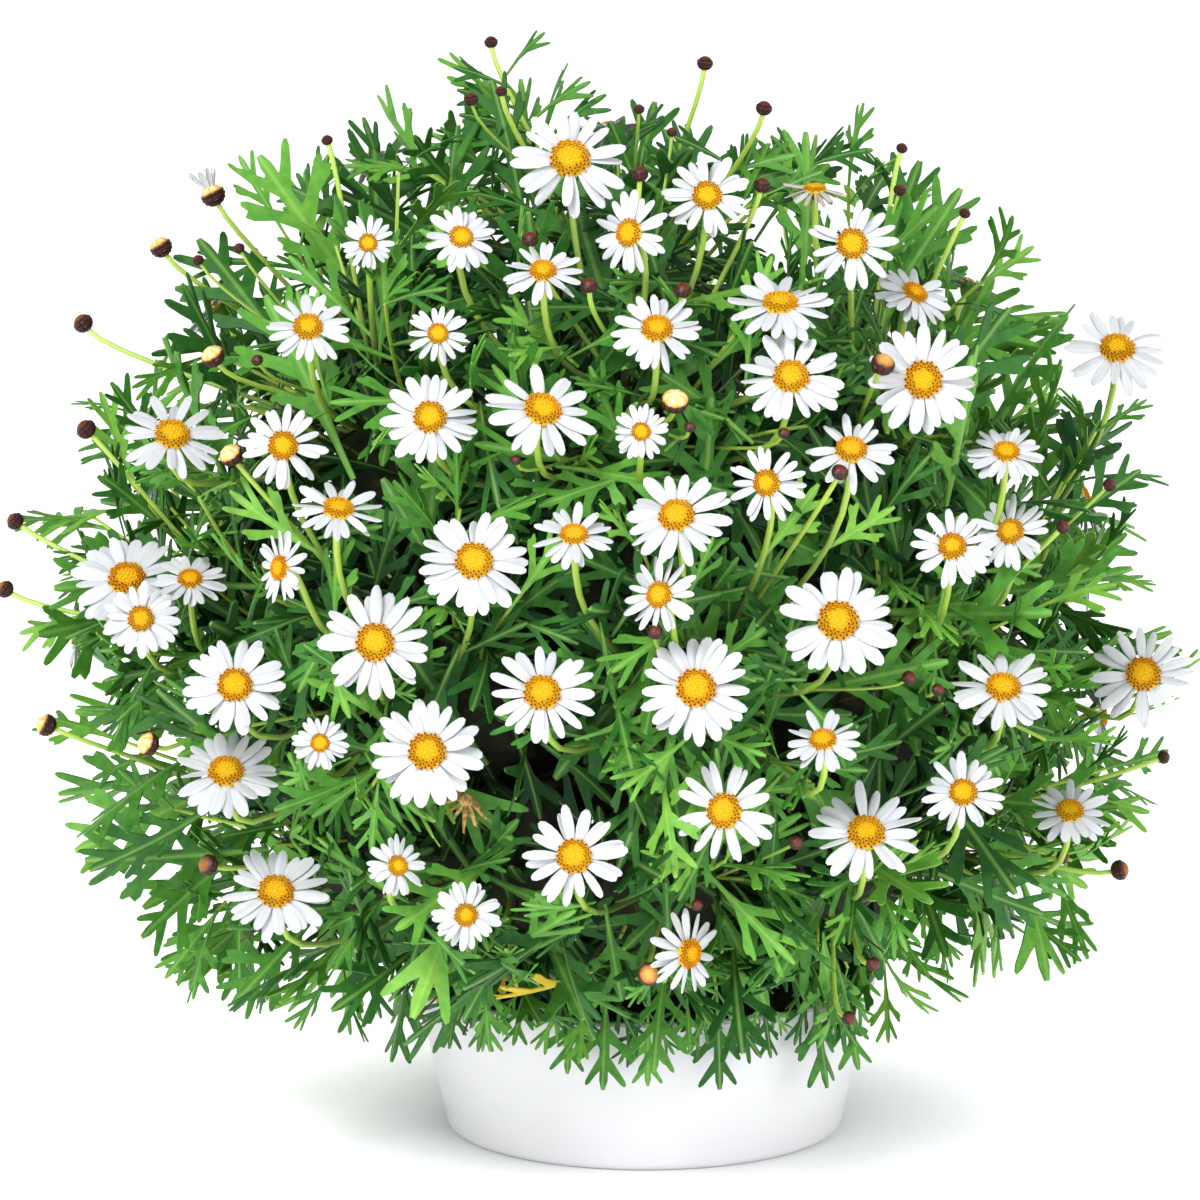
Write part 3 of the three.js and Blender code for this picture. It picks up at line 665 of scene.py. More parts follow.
def model_ray():
    """A ray along +Y, one unit long: oblong, narrow at its foot, with two ridges and a notched tip"""
    start_strip(4, RAY_ROWS)
    for column in (-0.25, 0.25):
        pick("verts", lambda spot, column=column: abs(spot.x - column) < NEAR)
        bpy.ops.transform.translate(value=(0, 0, RAY_RIDGE))
    place_rows(RAY_ROWS)
    pick("verts", lambda spot: spot.y > 0.999 and abs(spot.x) > 0.04)
    bpy.ops.transform.translate(value=(0, -RAY_CORNER_BACK, 0))
    pick("verts", lambda spot: spot.y > 0.999 and abs(spot.x) < NEAR)
    bpy.ops.transform.translate(value=(0, -RAY_NOTCH, 0))
    leave_edit()
    harden("SOLIDIFY", thickness=RAY_THICKNESS, offset=0.0)
    return Shape()


def unmarked(points):
    return points * 0


def model_dome():
    """The cushion that a disc's florets stand on, one unit in radius"""
    deselect()
    bpy.ops.mesh.primitive_uv_sphere_add(segments=20, ring_count=10, radius=1)
    edit()
    select_all()
    bpy.ops.mesh.bisect(plane_co=(0, 0, -0.3), plane_no=(0, 0, 1), clear_inner=True, use_fill=True)
    select_all()
    bpy.ops.transform.resize(value=(1, 1, 0.4), center_override=(0, 0, 0))
    leave_edit()
    return Shape(unmarked)


def start_floret(radius, flare):
    """Starts a floret, one unit high, from a five-sided tube with its top, left selected, resized"""
    deselect()
    bpy.ops.mesh.primitive_cylinder_add(vertices=5, radius=radius, depth=1, location=(0, 0, 0.5))
    bpy.ops.object.transform_apply(location=True)
    edit()
    pick("faces", lambda spot: spot.z > 0.99)
    bpy.ops.transform.resize(value=(flare, flare, 1), center_override=(0, 0, 1))


MOUTH_DEPTH = 0.35


def mark_mouth_shade(points):
    """Marks the corners of the sunken mouth, which the disc's finish paints near-black as painted shade, and
    each corner's height
    """
    height = points[:, 2]
    sunk = (abs(height - (1 - MOUTH_DEPTH)) < 0.05).astype(float)
    return np.stack([sunk, height, height * 0], 1)


def model_floret():
    """An open floret: a tube with a sunken mouth, about one unit in radius"""
    start_floret(0.7, 1.4)
    bpy.ops.mesh.inset(thickness=0.38)
    bpy.ops.transform.translate(value=(0, 0, -MOUTH_DEPTH))
    leave_edit()
    return Shape(mark_mouth_shade)


def model_closed_floret():
    """A closed floret: a knob, one unit in radius"""
    start_floret(1, 0.45)
    leave_edit()
    return Shape(unmarked)


CUP_DEPTH = 0.95


def model_cup():
    """The green cup of bracts under a head, one unit in radius at its rim"""
    start_ring(12, 0.2, -CUP_DEPTH)
    draw_up(-CUP_DEPTH, ((0.2, 2.0), (0.3, 1.55), (0.3, 1.3), (0.12, 1.14)))
    close_shape()
    return Shape()


BUD_FOLDS = 12
BUD_FOLD = 2 * math.pi / BUD_FOLDS
BUD_HEIGHT = 0.9


def mark_bud(points):
    """Marks each corner's height, how far out its scale is raised, and every other of the folds"""
    raised = np.linalg.norm(points * (1, 1, 1 / BUD_HEIGHT), axis=1)
    folded = np.rint(np.arctan2(points[:, 1], points[:, 0]) / BUD_FOLD) % 2
    return np.stack([points[:, 2], raised, folded], 1)


def model_bud():
    """A closed bud, one unit in radius: raised scales round its lower part and folded rays on top"""
    deselect()
    bpy.ops.mesh.primitive_uv_sphere_add(segments=BUD_FOLDS, ring_count=8, radius=1)
    edit()
    pick("faces", lambda spot: spot.z < 0.5)
    bpy.ops.mesh.inset(thickness=0.08, use_individual=True)
    bpy.ops.transform.shrink_fatten(value=0.1)
    pick("verts", lambda spot: spot.z > 0.6 and round(math.atan2(spot.y, spot.x) / BUD_FOLD) % 2)
    bpy.ops.transform.resize(value=(0.94, 0.94, 1), center_override=(0, 0, 0))
    select_all()
    bpy.ops.transform.resize(value=(1, 1, BUD_HEIGHT), center_override=(0, 0, 0))
    leave_edit()
    return Shape(mark_bud)


TUBE_STEPS = 8


def model_tube(sides):
    """A straight tube along +Z, one unit long and in radius, ready to be bent along a path"""
    start_ring(sides, 1)
    for step in range(TUBE_STEPS):
        pick("faces", lambda spot, low=step / TUBE_STEPS: spot.z > low - NEAR)
        extrude((0, 0, 1 / TUBE_STEPS))
    close_shape()
    return Shape()


# Leaf outlines. A row is a place along the rib and its half width there. A lobe is its foot on the rib's
# side, its joint and its end, each as a place across and along, its widths at joint and end, and its tooth.
LARGE_BLADE = model_blade(
    rows=(
        (0, 0.015), (0.18, 0.018), (0.34, 0.031), (0.46, 0.034),
        (0.56, 0.037), (0.67, 0.039), (0.77, 0.037), (0.87, 0.031),
    ),
    lobes=(
        ((0.033, 0.4), (0.1, 0.47), (0.17, 0.56), (0.05, 0.04), 0.045),
        ((0.038, 0.615), (0.125, 0.7), (0.22, 0.8), (0.061, 0.05), 0.065),
        ((0.034, 0.82), (0.085, 0.89), (0.135, 0.965), (0.052, 0.04), 0),
    ),
    tip=((0.07, 1.0), (0.06, 0.45)),
    thickness=0.011,
)
BROAD_BLADE = model_blade(
    rows=((0, 0.016), (0.26, 0.023), (0.42, 0.046), (0.56, 0.046), (0.69, 0.05), (0.82, 0.041)),
    lobes=(
        ((0.046, 0.49), (0.135, 0.575), (0.225, 0.68), (0.07, 0.058), 0.07),
        ((0.045, 0.755), (0.115, 0.845), (0.18, 0.93), (0.067, 0.05), 0),
    ),
    tip=((0.09, 1.0), (0.09, 0.4)),
    thickness=0.014,
)
SLENDER_BLADE = model_blade(
    rows=((0, 0.014), (0.24, 0.02), (0.4, 0.038), (0.54, 0.034), (0.67, 0.038), (0.8, 0.032)),
    lobes=(
        ((0.036, 0.47), (0.11, 0.58), (0.2, 0.72), (0.062, 0.05), 0.05),
        ((0.035, 0.735), (0.085, 0.84), (0.14, 0.95), (0.055, 0.044), 0),
    ),
    tip=((0.12, 1.0), (0.08, 0.4)),
    thickness=0.013,
)
SMALL_BLADE = model_blade(
    rows=((0, 0.02), (0.38, 0.034), (0.56, 0.06), (0.76, 0.05)),
    lobes=(((0.055, 0.66), (0.13, 0.77), (0.21, 0.88), (0.085, 0.065), 0),),
    tip=((0.14, 1.0), (0.1, 0.4)),
    thickness=0.016,
)
RAY = model_ray()
DOME = model_dome()
FLORET = model_floret()
CLOSED_FLORET = model_closed_floret()
CUP = model_cup()
BUD = model_bud()
STALK_TUBE = model_tube(8)
TWIG_TUBE = model_tube(5)


class Paint:
    """A procedural material under construction, with short ways to add its nodes"""

    def __init__(self, name, roughness):
        self.material = bpy.data.materials.new(name)
        self.material.use_nodes = True
        self.tree = self.material.node_tree
        self.shader = self.tree.nodes["Principled BSDF"]
        self.shader.inputs["Roughness"].default_value = roughness

    def add(self, kind, **settings):
        node = self.tree.nodes.new(kind)
        for key, value in settings.items():
            setattr(node, key, value)
        return node

    def join(self, source, target):
        self.tree.links.new(source, target)

    def tone(self):
        """The tone that each copy was laid with"""
        return self.add("ShaderNodeAttribute", attribute_name="tone").outputs["Fac"]

    def mark(self, axis):
        """One part of the mark that each corner of a shape has"""
        parts = self.add("ShaderNodeSeparateXYZ")
        self.join(self.add("ShaderNodeAttribute", attribute_name="mark").outputs["Vector"], parts.inputs[0])
        return parts.outputs[axis]

    def sum(self, operation, first, second):
        node = self.add("ShaderNodeMath", operation=operation)
        for socket, value in zip(node.inputs, (first, second)):
            if isinstance(value, (int, float)):
                socket.default_value = value
            else:
                self.join(value, socket)
        return node.outputs[0]

    def plus(self, first, second):
        return self.sum("ADD", first, second)

    def minus(self, first, second):
        return self.sum("SUBTRACT", first, second)

    def times(self, first, second):
        return self.sum("MULTIPLY", first, second)

    def within_one(self, value):
        """Keeps the result of a sum between 0 and 1"""
        value.node.use_clamp = True
        return value

    def noise(self, scale, detail=3, stretch=(1, 1, 1)):
        place = self.add("ShaderNodeTexCoord").outputs["Object"]
        mapping = self.add("ShaderNodeMapping")
        mapping.inputs["Scale"].default_value = stretch
        self.join(place, mapping.inputs["Vector"])
        node = self.add("ShaderNodeTexNoise")
        node.inputs["Scale"].default_value = scale
        node.inputs["Detail"].default_value = detail
        self.join(mapping.outputs[0], node.inputs["Vector"])
        return node.outputs["Fac"]

    def ramp(self, value, *stops):
        """A colour that runs through stops of (place, colour) as the value grows"""
        node = self.add("ShaderNodeValToRGB")
        ramp = node.color_ramp
        while len(ramp.elements) < len(stops):
            ramp.elements.new(0.5)
        for element, (place, colour) in zip(ramp.elements, stops):
            element.position = place
            element.color = (*colour, 1)
        self.join(value, node.inputs[0])
        return node.outputs[0]

    def cover(self, under, over, factor):
        """A colour partly covered with another"""
        node = self.add("ShaderNodeMix", data_type="RGBA")
        for name, value in (("Factor_Float", factor), ("A_Color", under), ("B_Color", over)):
            socket = next(one for one in node.inputs if one.identifier == name)
            if isinstance(value, tuple):
                socket.default_value = (*value, 1)
            elif isinstance(value, (int, float)):
                socket.default_value = value
            else:
                self.join(value, socket)
        return next(one for one in node.outputs if one.identifier == "Result_Color")

    def colour(self, value):
        self.join(value, self.shader.inputs["Base Color"])

    def bumps(self, value, strength, distance):
        node = self.add("ShaderNodeBump")
        node.inputs["Strength"].default_value = strength
        node.inputs["Distance"].default_value = distance
        self.join(value, node.inputs["Height"])
        self.join(node.outputs[0], self.shader.inputs["Normal"])


# The share of the leaf colours that living leaves use; past it they turn yellow
LEAF_TONE_SHARE = 0.7


def paint_leaf():
    paint = Paint("green_leaf", 0.5)
    paint.shader.inputs["Specular IOR Level"].default_value = 0.22
    # The tone holds each leaf's own random tone and, on the side leaves, painted shade that darkens the
    # deeper ones
    tone = paint.plus(paint.tone(), paint.times(paint.noise(60), 0.4))
    tone = paint.plus(tone, paint.times(paint.noise(240, 4), 0.34))
    tone = paint.minus(tone, 0.37)
    tone = paint.times(tone, LEAF_TONE_SHARE)
    green = paint.ramp(
        tone,
        (0.0, (0.008, 0.046, 0.009)),
        (0.25, (0.028, 0.130, 0.018)),
        (0.49, (0.092, 0.290, 0.032)),
        (0.7, (0.200, 0.440, 0.055)),
        (0.95, (0.620, 0.430, 0.030)),
    )
    beside = paint.sum("ABSOLUTE", paint.mark("X"), 0)
    rib = paint.minus(1.0, paint.times(beside, 55))
    rib = paint.times(paint.sum("MAXIMUM", rib, 0.0), 0.4)
    paint.colour(paint.cover(green, (0.34, 0.56, 0.13), rib))
    return paint.material


def paint_ray():
    paint = Paint("white_ray", 0.6)
    # Painted shade: the ray is tinted blue-grey everywhere but along its two raised ridges, which stay white
    beside = paint.sum("ABSOLUTE", paint.mark("X"), 0)
    ridge = paint.sum("ABSOLUTE", paint.minus(beside, 0.06), 0)
    groove_shade = paint.times(paint.sum("MINIMUM", paint.times(ridge, 16), 1.0), 0.3)
    white = paint.cover((0.575, 0.585, 0.60), (0.39, 0.43, 0.51), groove_shade)
    # Painted shade: greyer towards the ray's foot, next to and under the disc
    foot = paint.times(paint.minus(0.3, paint.mark("Y")), 2.2)
    foot = paint.times(paint.sum("MAXIMUM", foot, 0.0), 0.7)
    white = paint.cover(white, (0.33, 0.37, 0.35), foot)
    wilt = paint.within_one(paint.times(paint.minus(paint.tone(), 1.0), 0.8))
    paint.colour(paint.cover(white, (0.42, 0.27, 0.13), wilt))
    return paint.material


def paint_disc():
    paint = Paint("golden_disc", 0.8)
    paint.shader.inputs["Specular IOR Level"].default_value = 0.2
    out = paint.plus(paint.mark("Z"), paint.times(paint.tone(), 0.35))
    gold = paint.ramp(
        out,
        (0.0, (0.60, 0.41, 0.013)),
        (0.4, (0.72, 0.43, 0.007)),
        (0.8, (0.73, 0.37, 0.005)),
        (1.0, (0.68, 0.29, 0.004)),
    )
    # Painted shade: the sunken mouths of the open florets are painted near-black
    mouth_shade = paint.sum("POWER", paint.mark("X"), 2.6)
    paint.colour(paint.cover(gold, (0.05, 0.018, 0.003), paint.times(mouth_shade, 0.95)))
    return paint.material


def paint_bud():
    paint = Paint("scaled_bud", 0.45)
    paint.shader.inputs["Specular IOR Level"].default_value = 0.35
    scales = paint.ramp(
        paint.times(paint.minus(paint.mark("Y"), 0.98), 9),
        (0.0, (0.008, 0.005, 0.004)),
        (0.5, (0.028, 0.006, 0.004)),
        (1.0, (0.066, 0.011, 0.006)),
    )
    folds = paint.ramp(paint.mark("Z"), (0.1, (0.88, 0.74, 0.38)), (0.95, (0.68, 0.42, 0.10)))
    height = paint.plus(paint.mark("X"), paint.times(paint.noise(700), 0.2))
    height = paint.plus(height, paint.times(paint.tone(), 0.3))
    openness = paint.sum("POWER", paint.tone(), 2.0)
    ripe = paint.within_one(paint.times(paint.minus(height, 0.55), paint.times(openness, 3.2)))
    warm = paint.ramp(ripe, (0.0, (0.105, 0.017, 0.007)), (0.5, (0.74, 0.34, 0.045)))
    tip = paint.cover(warm, folds, paint.sum("POWER", ripe, 2.5))
    crest = paint.within_one(paint.times(paint.minus(height, 0.55), 5))
    paint.colour(paint.cover(scales, tip, crest))
    return paint.material


def paint_stalk():
    paint = Paint("green_stalk", 0.45)
    green = paint.ramp(
        paint.plus(paint.tone(), paint.times(paint.noise(90), 0.12)),
        (0.05, (0.065, 0.050, 0.020)),
        (0.35, (0.110, 0.190, 0.030)),
        (0.75, (0.330, 0.500, 0.060)),
        (1.05, (0.480, 0.640, 0.110)),
    )
    paint.colour(green)
    return paint.material


def paint_shade_mass():
    paint = Paint("painted_shade_mass", 0.9)
    # A near-black finish for the club of painted shade inside the foliage
    paint.colour(paint.ramp(paint.noise(90, 5), (0.35, (0.010, 0.010, 0.005)), (0.7, (0.028, 0.034, 0.010))))
    return paint.material


def paint_bark():
    paint = Paint("ridged_bark", 0.85)
    grain = paint.noise(160, 6, (1, 1, 0.18))
    paint.colour(paint.ramp(grain, (0.3, (0.040, 0.024, 0.014)), (0.7, (0.130, 0.085, 0.050))))
    paint.bumps(grain, 0.6, 0.002)
    return paint.material


def paint_dried():
    paint = Paint("dried_petal", 0.7)
    paint.colour(paint.ramp(paint.noise(500, 4), (0.35, (0.16, 0.07, 0.02)), (0.65, (0.62, 0.40, 0.12))))
    return paint.material


def paint_soil():
    paint = Paint("dark_potting_mix", 0.95)
    grain = paint.noise(420, 6)
    dark = (0.35, (0.010, 0.007, 0.005))
    brown = (0.6, (0.040, 0.026, 0.017))
    pale = (0.8, (0.11, 0.08, 0.055))
    paint.colour(paint.ramp(grain, dark, brown, pale))
    paint.bumps(grain, 0.8, 0.003)
    return paint.material


def paint_pot():
    paint = Paint("white_glaze", 0.28)
    paint.colour(paint.ramp(paint.noise(9), (0.3, (0.66, 0.655, 0.685)), (0.7, (0.71, 0.705, 0.73))))
    paint.shader.inputs["Coat Weight"].default_value = 0.3
    paint.shader.inputs["Coat Roughness"].default_value = 0.15
    return paint.material


LEAF_FINISH = paint_leaf()
RAY_FINISH = paint_ray()
DISC_FINISH = paint_disc()
BUD_FINISH = paint_bud()
STALK_FINISH = paint_stalk()
SHADE_MASS_FINISH = paint_shade_mass()
BARK_FINISH = paint_bark()
DRIED_FINISH = paint_dried()
SOIL_FINISH = paint_soil()
POT_FINISH = paint_pot()


class Bunch:
    """Copies of small shapes gathered into one mesh, in millimetres until the mesh is made"""

    def __init__(self):
        self.points = []
        self.corners = []
        self.sizes = []
        self.marks = []
        self.tones = []
        self.count = 0

    def add(self, shape, points, tone, marks=None):
        self.points.append(points)
        self.corners.append(shape.corners + self.count)
        self.sizes.append(shape.sizes)
        self.marks.append(shape.marks if marks is None else marks)
        self.tones.append(np.broadcast_to(np.asarray(tone, float), len(points)))
        self.count += len(points)

    def make(self, name, material, slot, *nodes, smooth=40):
        points = np.concatenate(self.points) * MM
        corners = np.concatenate(self.corners)
        sizes = np.concatenate(self.sizes)
        mesh = bpy.data.meshes.new(name)
        mesh.vertices.add(len(points))
        mesh.loops.add(len(corners))
        mesh.polygons.add(len(sizes))
        mesh.vertices.foreach_set("co", points.ravel())
        mesh.polygons.foreach_set("loop_start", np.cumsum(sizes) - sizes)
        mesh.polygons.foreach_set("vertices", corners)
        mesh.update(calc_edges=True)
        marks = mesh.attributes.new("mark", "FLOAT_VECTOR", "POINT")
        marks.data.foreach_set("vector", np.concatenate(self.marks).ravel())
        tones = mesh.attributes.new("tone", "FLOAT", "POINT")
        tones.data.foreach_set("value", np.concatenate(self.tones))
        piece = bpy.data.objects.new(name, mesh)
        bpy.context.scene.collection.objects.link(piece)
        return settle(piece, material, slot, *nodes, smooth=smooth)


def settle(piece, material, slot, *nodes, smooth=40):
    """Finishes a piece: its shading, its material, its body and the solids that it stands for; the slot is
    not used
    """
    deselect()
    bpy.context.view_layer.objects.active = piece
    piece.select_set(True)
    bpy.ops.object.shade_smooth_by_angle(angle=math.radians(smooth))
    piece.data.materials.clear()
    piece.data.materials.append(material)
    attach(piece, "root")
    if nodes:
        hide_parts(*nodes)
    return piece


def as_row(vector):
    return np.array(vector, float)


def lay_blade(bunch, shape, plan, tone, keel=LEAF_KEEL, twist=0.0, broad=1.0):
    """Lays a leaf or a ray where its plan says, arched along its rib, folded about it and twisted"""
    across, along, rise = shape.points.T
    side = plan.face.cross(plan.along)
    turn = twist * along
    out = across * broad
    lift = rise - keel * np.abs(out)
    over = out * np.cos(turn) - lift * np.sin(turn)
    height = out * np.sin(turn) + lift * np.cos(turn) - plan.arch * along * along
    points = (
        as_row(plan.base)
        + np.outer(along * plan.length, as_row(plan.along))
        + np.outer(over * plan.length, as_row(side))
        + np.outer(height * plan.length, as_row(plan.face))
    )
    bunch.add(shape, points, tone)


def lay_upright(bunch, shape, place, look, size, tone, turn=0.0, marks=None):
    """Lays a shape with its own +Z along a direction, at a size across, across and along"""
    side, across = square_to(look)
    cos, sin = math.cos(turn), math.sin(turn)
    x = (shape.points[:, 0] * cos - shape.points[:, 1] * sin) * size[0]
    y = (shape.points[:, 0] * sin + shape.points[:, 1] * cos) * size[1]
    z = shape.points[:, 2] * size[2]
    ways = as_row(side), as_row(across), as_row(look)
    points = as_row(place) + np.outer(x, ways[0]) + np.outer(y, ways[1]) + np.outer(z, ways[2])
    bunch.add(shape, points, tone, marks)


def curve_point(path, t):
    """A point of the smooth curve that the given points pull towards them"""
    points = [point.copy() for point in path]
    while len(points) > 1:
        points = [one.lerp(two, t) for one, two in zip(points, points[1:])]
    return points[0]


def lay_tube(bunch, shape, path, radii, tones):
    """Bends a tube along a smooth curve, tapering between two radii, with a tone at each end"""
    centres = [curve_point(path, k / TUBE_STEPS) for k in range(TUBE_STEPS + 1)]
    before = centres[:1] + centres[:-1]
    after = centres[1:] + centres[-1:]
    ways = [(two - one).normalized() for one, two in zip(before, after)]
    side, across = square_to(ways[0])
    rings = []
    for k, way in enumerate(ways):
        bend = ways[max(k - 1, 0)].rotation_difference(way)
        side = bend @ side
        across = bend @ across
        rings.append((as_row(centres[k]), as_row(side), as_row(across)))
    share_along = shape.points[:, 2]
    level = np.rint(share_along * TUBE_STEPS).astype(int)
    centre = np.array([ring[0] for ring in rings])[level]
    sides = np.array([ring[1] for ring in rings])[level]
    acrosses = np.array([ring[2] for ring in rings])[level]
    radius = mix(*radii, share_along)[:, None]
    points = centre + radius * (shape.points[:, :1] * sides + shape.points[:, 1:2] * acrosses)
    bunch.add(shape, points, mix(*tones, share_along))


# Heads and buds
RAYS_FEWEST = 17
RAYS_MOST = 23
RAY_FOOT = 0.6
RAY_LAYER = 0.35
FLORETS = 84
OPEN_FLORETS_FROM = 0.5
CUP_WIDTH = 0.36
DISC_RISE = 1.15
SMALL_BUD_FINE = 0.75

# Heads by their number: those whose rays have begun to wither, and those whose discs are orange all over
WILTED_HEADS = {7: 1.0, 54: 0.35}
RIPE_HEADS = (12, 30, 31, 32, 54)


def lay_rays(bunch, flower, number):
    """Two loose layers of rays, each ray a little different"""
    radius = flower.wide / 2
    side, across = square_to(flower.look)
    fullness = share(number, 11)
    rays = round(mix(RAYS_FEWEST, RAYS_MOST, fullness))
    foot = radius * DISC_SHARE * RAY_FOOT
    wilt = WILTED_HEADS.get(number, 0)
    for i in range(rays):
        seed = number * 40 + i
        turn = 2 * math.pi * (i + mix(-0.42, 0.42, share(seed, 1))) / rays
        away = turned(side, across, turn)
        lift = mix(-0.2, 0.18, share(seed, 2)) + (0.06 if i % 2 else -0.04) - wilt * 0.5 * share(seed, 10)
        along = (away + flower.look * lift).normalized()
        tangent = flower.look.cross(away)
        face = squared(flower.look - away * lift + tangent * mix(-0.4, 0.4, share(seed, 3)), along)
        length = (radius - foot) * mix(0.78, 1.03, share(seed, 4) ** 0.6)
        base = flower.place + away * foot + flower.look * (RAY_LAYER if i % 2 else -RAY_LAYER)
        plan = LeafPlan(base, along, face, length, mix(0.0, 0.16, share(seed, 5)))
        keel = mix(-0.1, 0.2, share(seed, 8))
        twist = mix(-0.5, 0.5, share(seed, 9)) * (1 + wilt)
        broad = mix(0.86, 1.14, share(seed, 7)) * mix(0.88, 1.08, fullness) * (1 - 0.3 * wilt)
        lay_blade(bunch, RAY, plan, share(seed, 6) + wilt, keel, twist, broad)


def lay_disc(bunch, flower, number):
    """A cushion of florets: closed knobs in the middle, open tubes round them"""
    disc = flower.wide / 2 * DISC_SHARE
    ripe = 1.0 if number in RIPE_HEADS else 0.5 * share(number, 12)
    height = disc * DISC_RISE
    dome = disc * 0.97
    lay_upright(bunch, DOME, flower.place - flower.look * 0.2, flower.look, (dome, dome, height), ripe)
    side, across = square_to(flower.look)
    for k in range(FLORETS):
        out = math.sqrt((k + 0.5) / FLORETS)
        turn = math.radians(GOLDEN_ANGLE * k)
        away = turned(side, across, turn)
        rise = 0.4 * math.sqrt(1 - (out * 0.94) ** 2)
        place = flower.place + away * (out * 0.94 * disc) + flower.look * (rise * height - 0.25)
        look = (flower.look + away * out * 0.7).normalized()
        is_open = out > mix(OPEN_FLORETS_FROM, OPEN_FLORETS_FROM + 0.15, share(number, 14))
        shape = FLORET if is_open else CLOSED_FLORET
        marks = shape.marks.copy()
        marks[:, 2] = out
        wide = disc * (0.1 if is_open else 0.085)
        tall = disc * (0.17 if is_open else 0.11)
        lay_upright(bunch, shape, place, look, (wide, wide, tall), ripe, turn=k * 1.3, marks=marks)


def lay_head_stalk(bunch, flower):
    """The cup under a head and the stalk down to its fork"""
    radius = flower.wide / 2
    top, knee, fork = flower.path
    cup = radius * CUP_WIDTH
    lay_upright(bunch, CUP, flower.place, flower.look, (cup, cup, radius * NECK_DEPTH / CUP_DEPTH), 0.35)
    path = [top + flower.look * 1.5, top - flower.look * STALK_SET_BACK, knee, knee.lerp(fork, 0.2), fork]
    lay_tube(bunch, STALK_TUBE, path, (STALK_RADIUS * 1.3, STALK_RADIUS * 1.05), (1, 0.05))


def lay_closed_bud(buds, flower, number):
    """A bud without its stalk, and the path that the stalk takes"""
    radius = flower.wide / 2
    tip = min(flower.tip, 1)
    lay_upright(buds, BUD, flower.place, flower.look, (radius, radius, radius), tip, turn=number)
    top, fork = flower.path
    return [flower.place - flower.look * radius * 0.8, top - flower.look * 14, top.lerp(fork, 0.5), fork]


def lay_bud(buds, rays, stalks, flower, number):
    """A bud on its stalk; an opening one has a tuft of short rays"""
    path = lay_closed_bud(buds, flower, number)
    lay_tube(stalks, STALK_TUBE, path, (BUD_STALK_RADIUS * 1.15, BUD_STALK_RADIUS * 1.1), (0.9, 0.3))
    if flower.tip > 1:
        radius = flower.wide / 2
        side, across = square_to(flower.look)
        for i in range(TUFT_RAYS):
            turn = 2 * math.pi * i / TUFT_RAYS
            away = turned(side, across, turn)
            along = (flower.look + away * mix(0.05, 0.5, share(i, 15))).normalized()
            face = squared(flower.look * 0.3 - away, along)
            base = flower.place + away * radius * 0.4 + flower.look * radius * 0.6
            lay_blade(rays, RAY, LeafPlan(base, along, face, radius * mix(1.2, 2.2, share(i, 16)), 0.1), 0.3)


def plan_small_buds():
    """Small buds that only the picture's side has, each on a thin stalk from the shoot behind it"""
    buds = []
    for px, py in SMALL_BUDS:
        place = place_mark(px, py, 0)
        bud = Flower(place, bud_look(place), mix(*SMALL_BUD_WIDTHS, share(px, py)), False, True)
        start = bud.shoot.reach * mix(0.66, 0.74, share(px, 17))
        bud.path = [place - bud.look * bud.wide / 2, bud.shoot.on_axis(start)]
        buds.append(bud)
    return buds


def lay_small_bud(buds, stalks, flower, number):
    path = lay_closed_bud(buds, flower, number)
    fine = BUD_STALK_RADIUS * SMALL_BUD_FINE
    lay_tube(stalks, TWIG_TUBE, path, (fine, fine), (0.7, 0.3))


def make_flowers():
    """The stalks, rays, discs and buds of every flower spray"""
    for shoot in SHOOTS:
        own = [(i, flower) for i, flower in enumerate(FLOWERS) if flower.shoot is shoot]
        small = [(i, bud) for i, bud in enumerate(SMALL) if bud.shoot is shoot]
        if not own:
            continue
        node = f"flower_spray_{shoot.label}"
        rays, discs, buds, stalks = Bunch(), Bunch(), Bunch(), Bunch()
        for number, flower in own:
            if flower.head:
                lay_rays(rays, flower, number)
                lay_disc(discs, flower, number)
                lay_head_stalk(stalks, flower)
            else:
                lay_bud(buds, rays, stalks, flower, number)
        for number, bud in small:
            lay_small_bud(buds, stalks, bud, number)
        foot = shoot.on_axis(shoot.reach * STEM_TIP - 6)
        head = shoot.on_axis(shoot.reach * STEM_TIP + GAP + FORK_FOOT + FORK_STEP * len(own))
        lay_tube(stalks, STALK_TUBE, [foot, head], (FORK_RADIUS, FORK_RADIUS * 0.6), (0.1, 0.1))
        stalks.make(f"flower_stalks_{shoot.label}", STALK_FINISH, "leaf", node)
        for bunch, kind, finish, smooth in (
            (rays, "rays", RAY_FINISH, 50),
            (discs, "discs", DISC_FINISH, 30),
            (buds, "buds", BUD_FINISH, 50),
        ):
            if bunch.count:
                bunch.make(f"flower_{kind}_{shoot.label}", finish, "bloom", node, smooth=smooth)


# Leafy twigs: how many, how far out they end, how many leaves each may have, and where none stand
TWIGS = 250
TWIG_SHELLS = (196, 248)
TWIG_LEAVES = 10
TWIG_CLEAR_OF_POT = 128
TWIG_LOWEST = 66
TWIG_FEWEST_LEAVES = 3
TWIG_RADII = (1.7, 0.8)

# Their leaves: length, degrees that they open from the twig at its foot and its end, ways tried for each,
# how much shorter each next way is, how far from the bush's middle a tip may be, and its room to the pot
SIDE_LEAF_LENGTH = (42, 70)
SIDE_LEAF_OPEN = (76, 20)
SIDE_LEAF_TRIES = 4
SIDE_LEAF_SHORTER = 0.12
LEAF_LIMIT = 283
POT_ROOM = 4

# How many of the numbers that repeatable values are drawn from each twig has for its leaves
SEEDS_PER_TWIG = 20

# The photographed side is more open: it lacks every so many of its twigs
OPEN_FRONT = 0.5
OPEN_FRONT_EVERY = 3

# Twigs whose leaves hang over the pot's rim
SKIRT_TWIGS = 42
SKIRT_REACH = (104, 134)
SKIRT_HEIGHT = (86, 108)

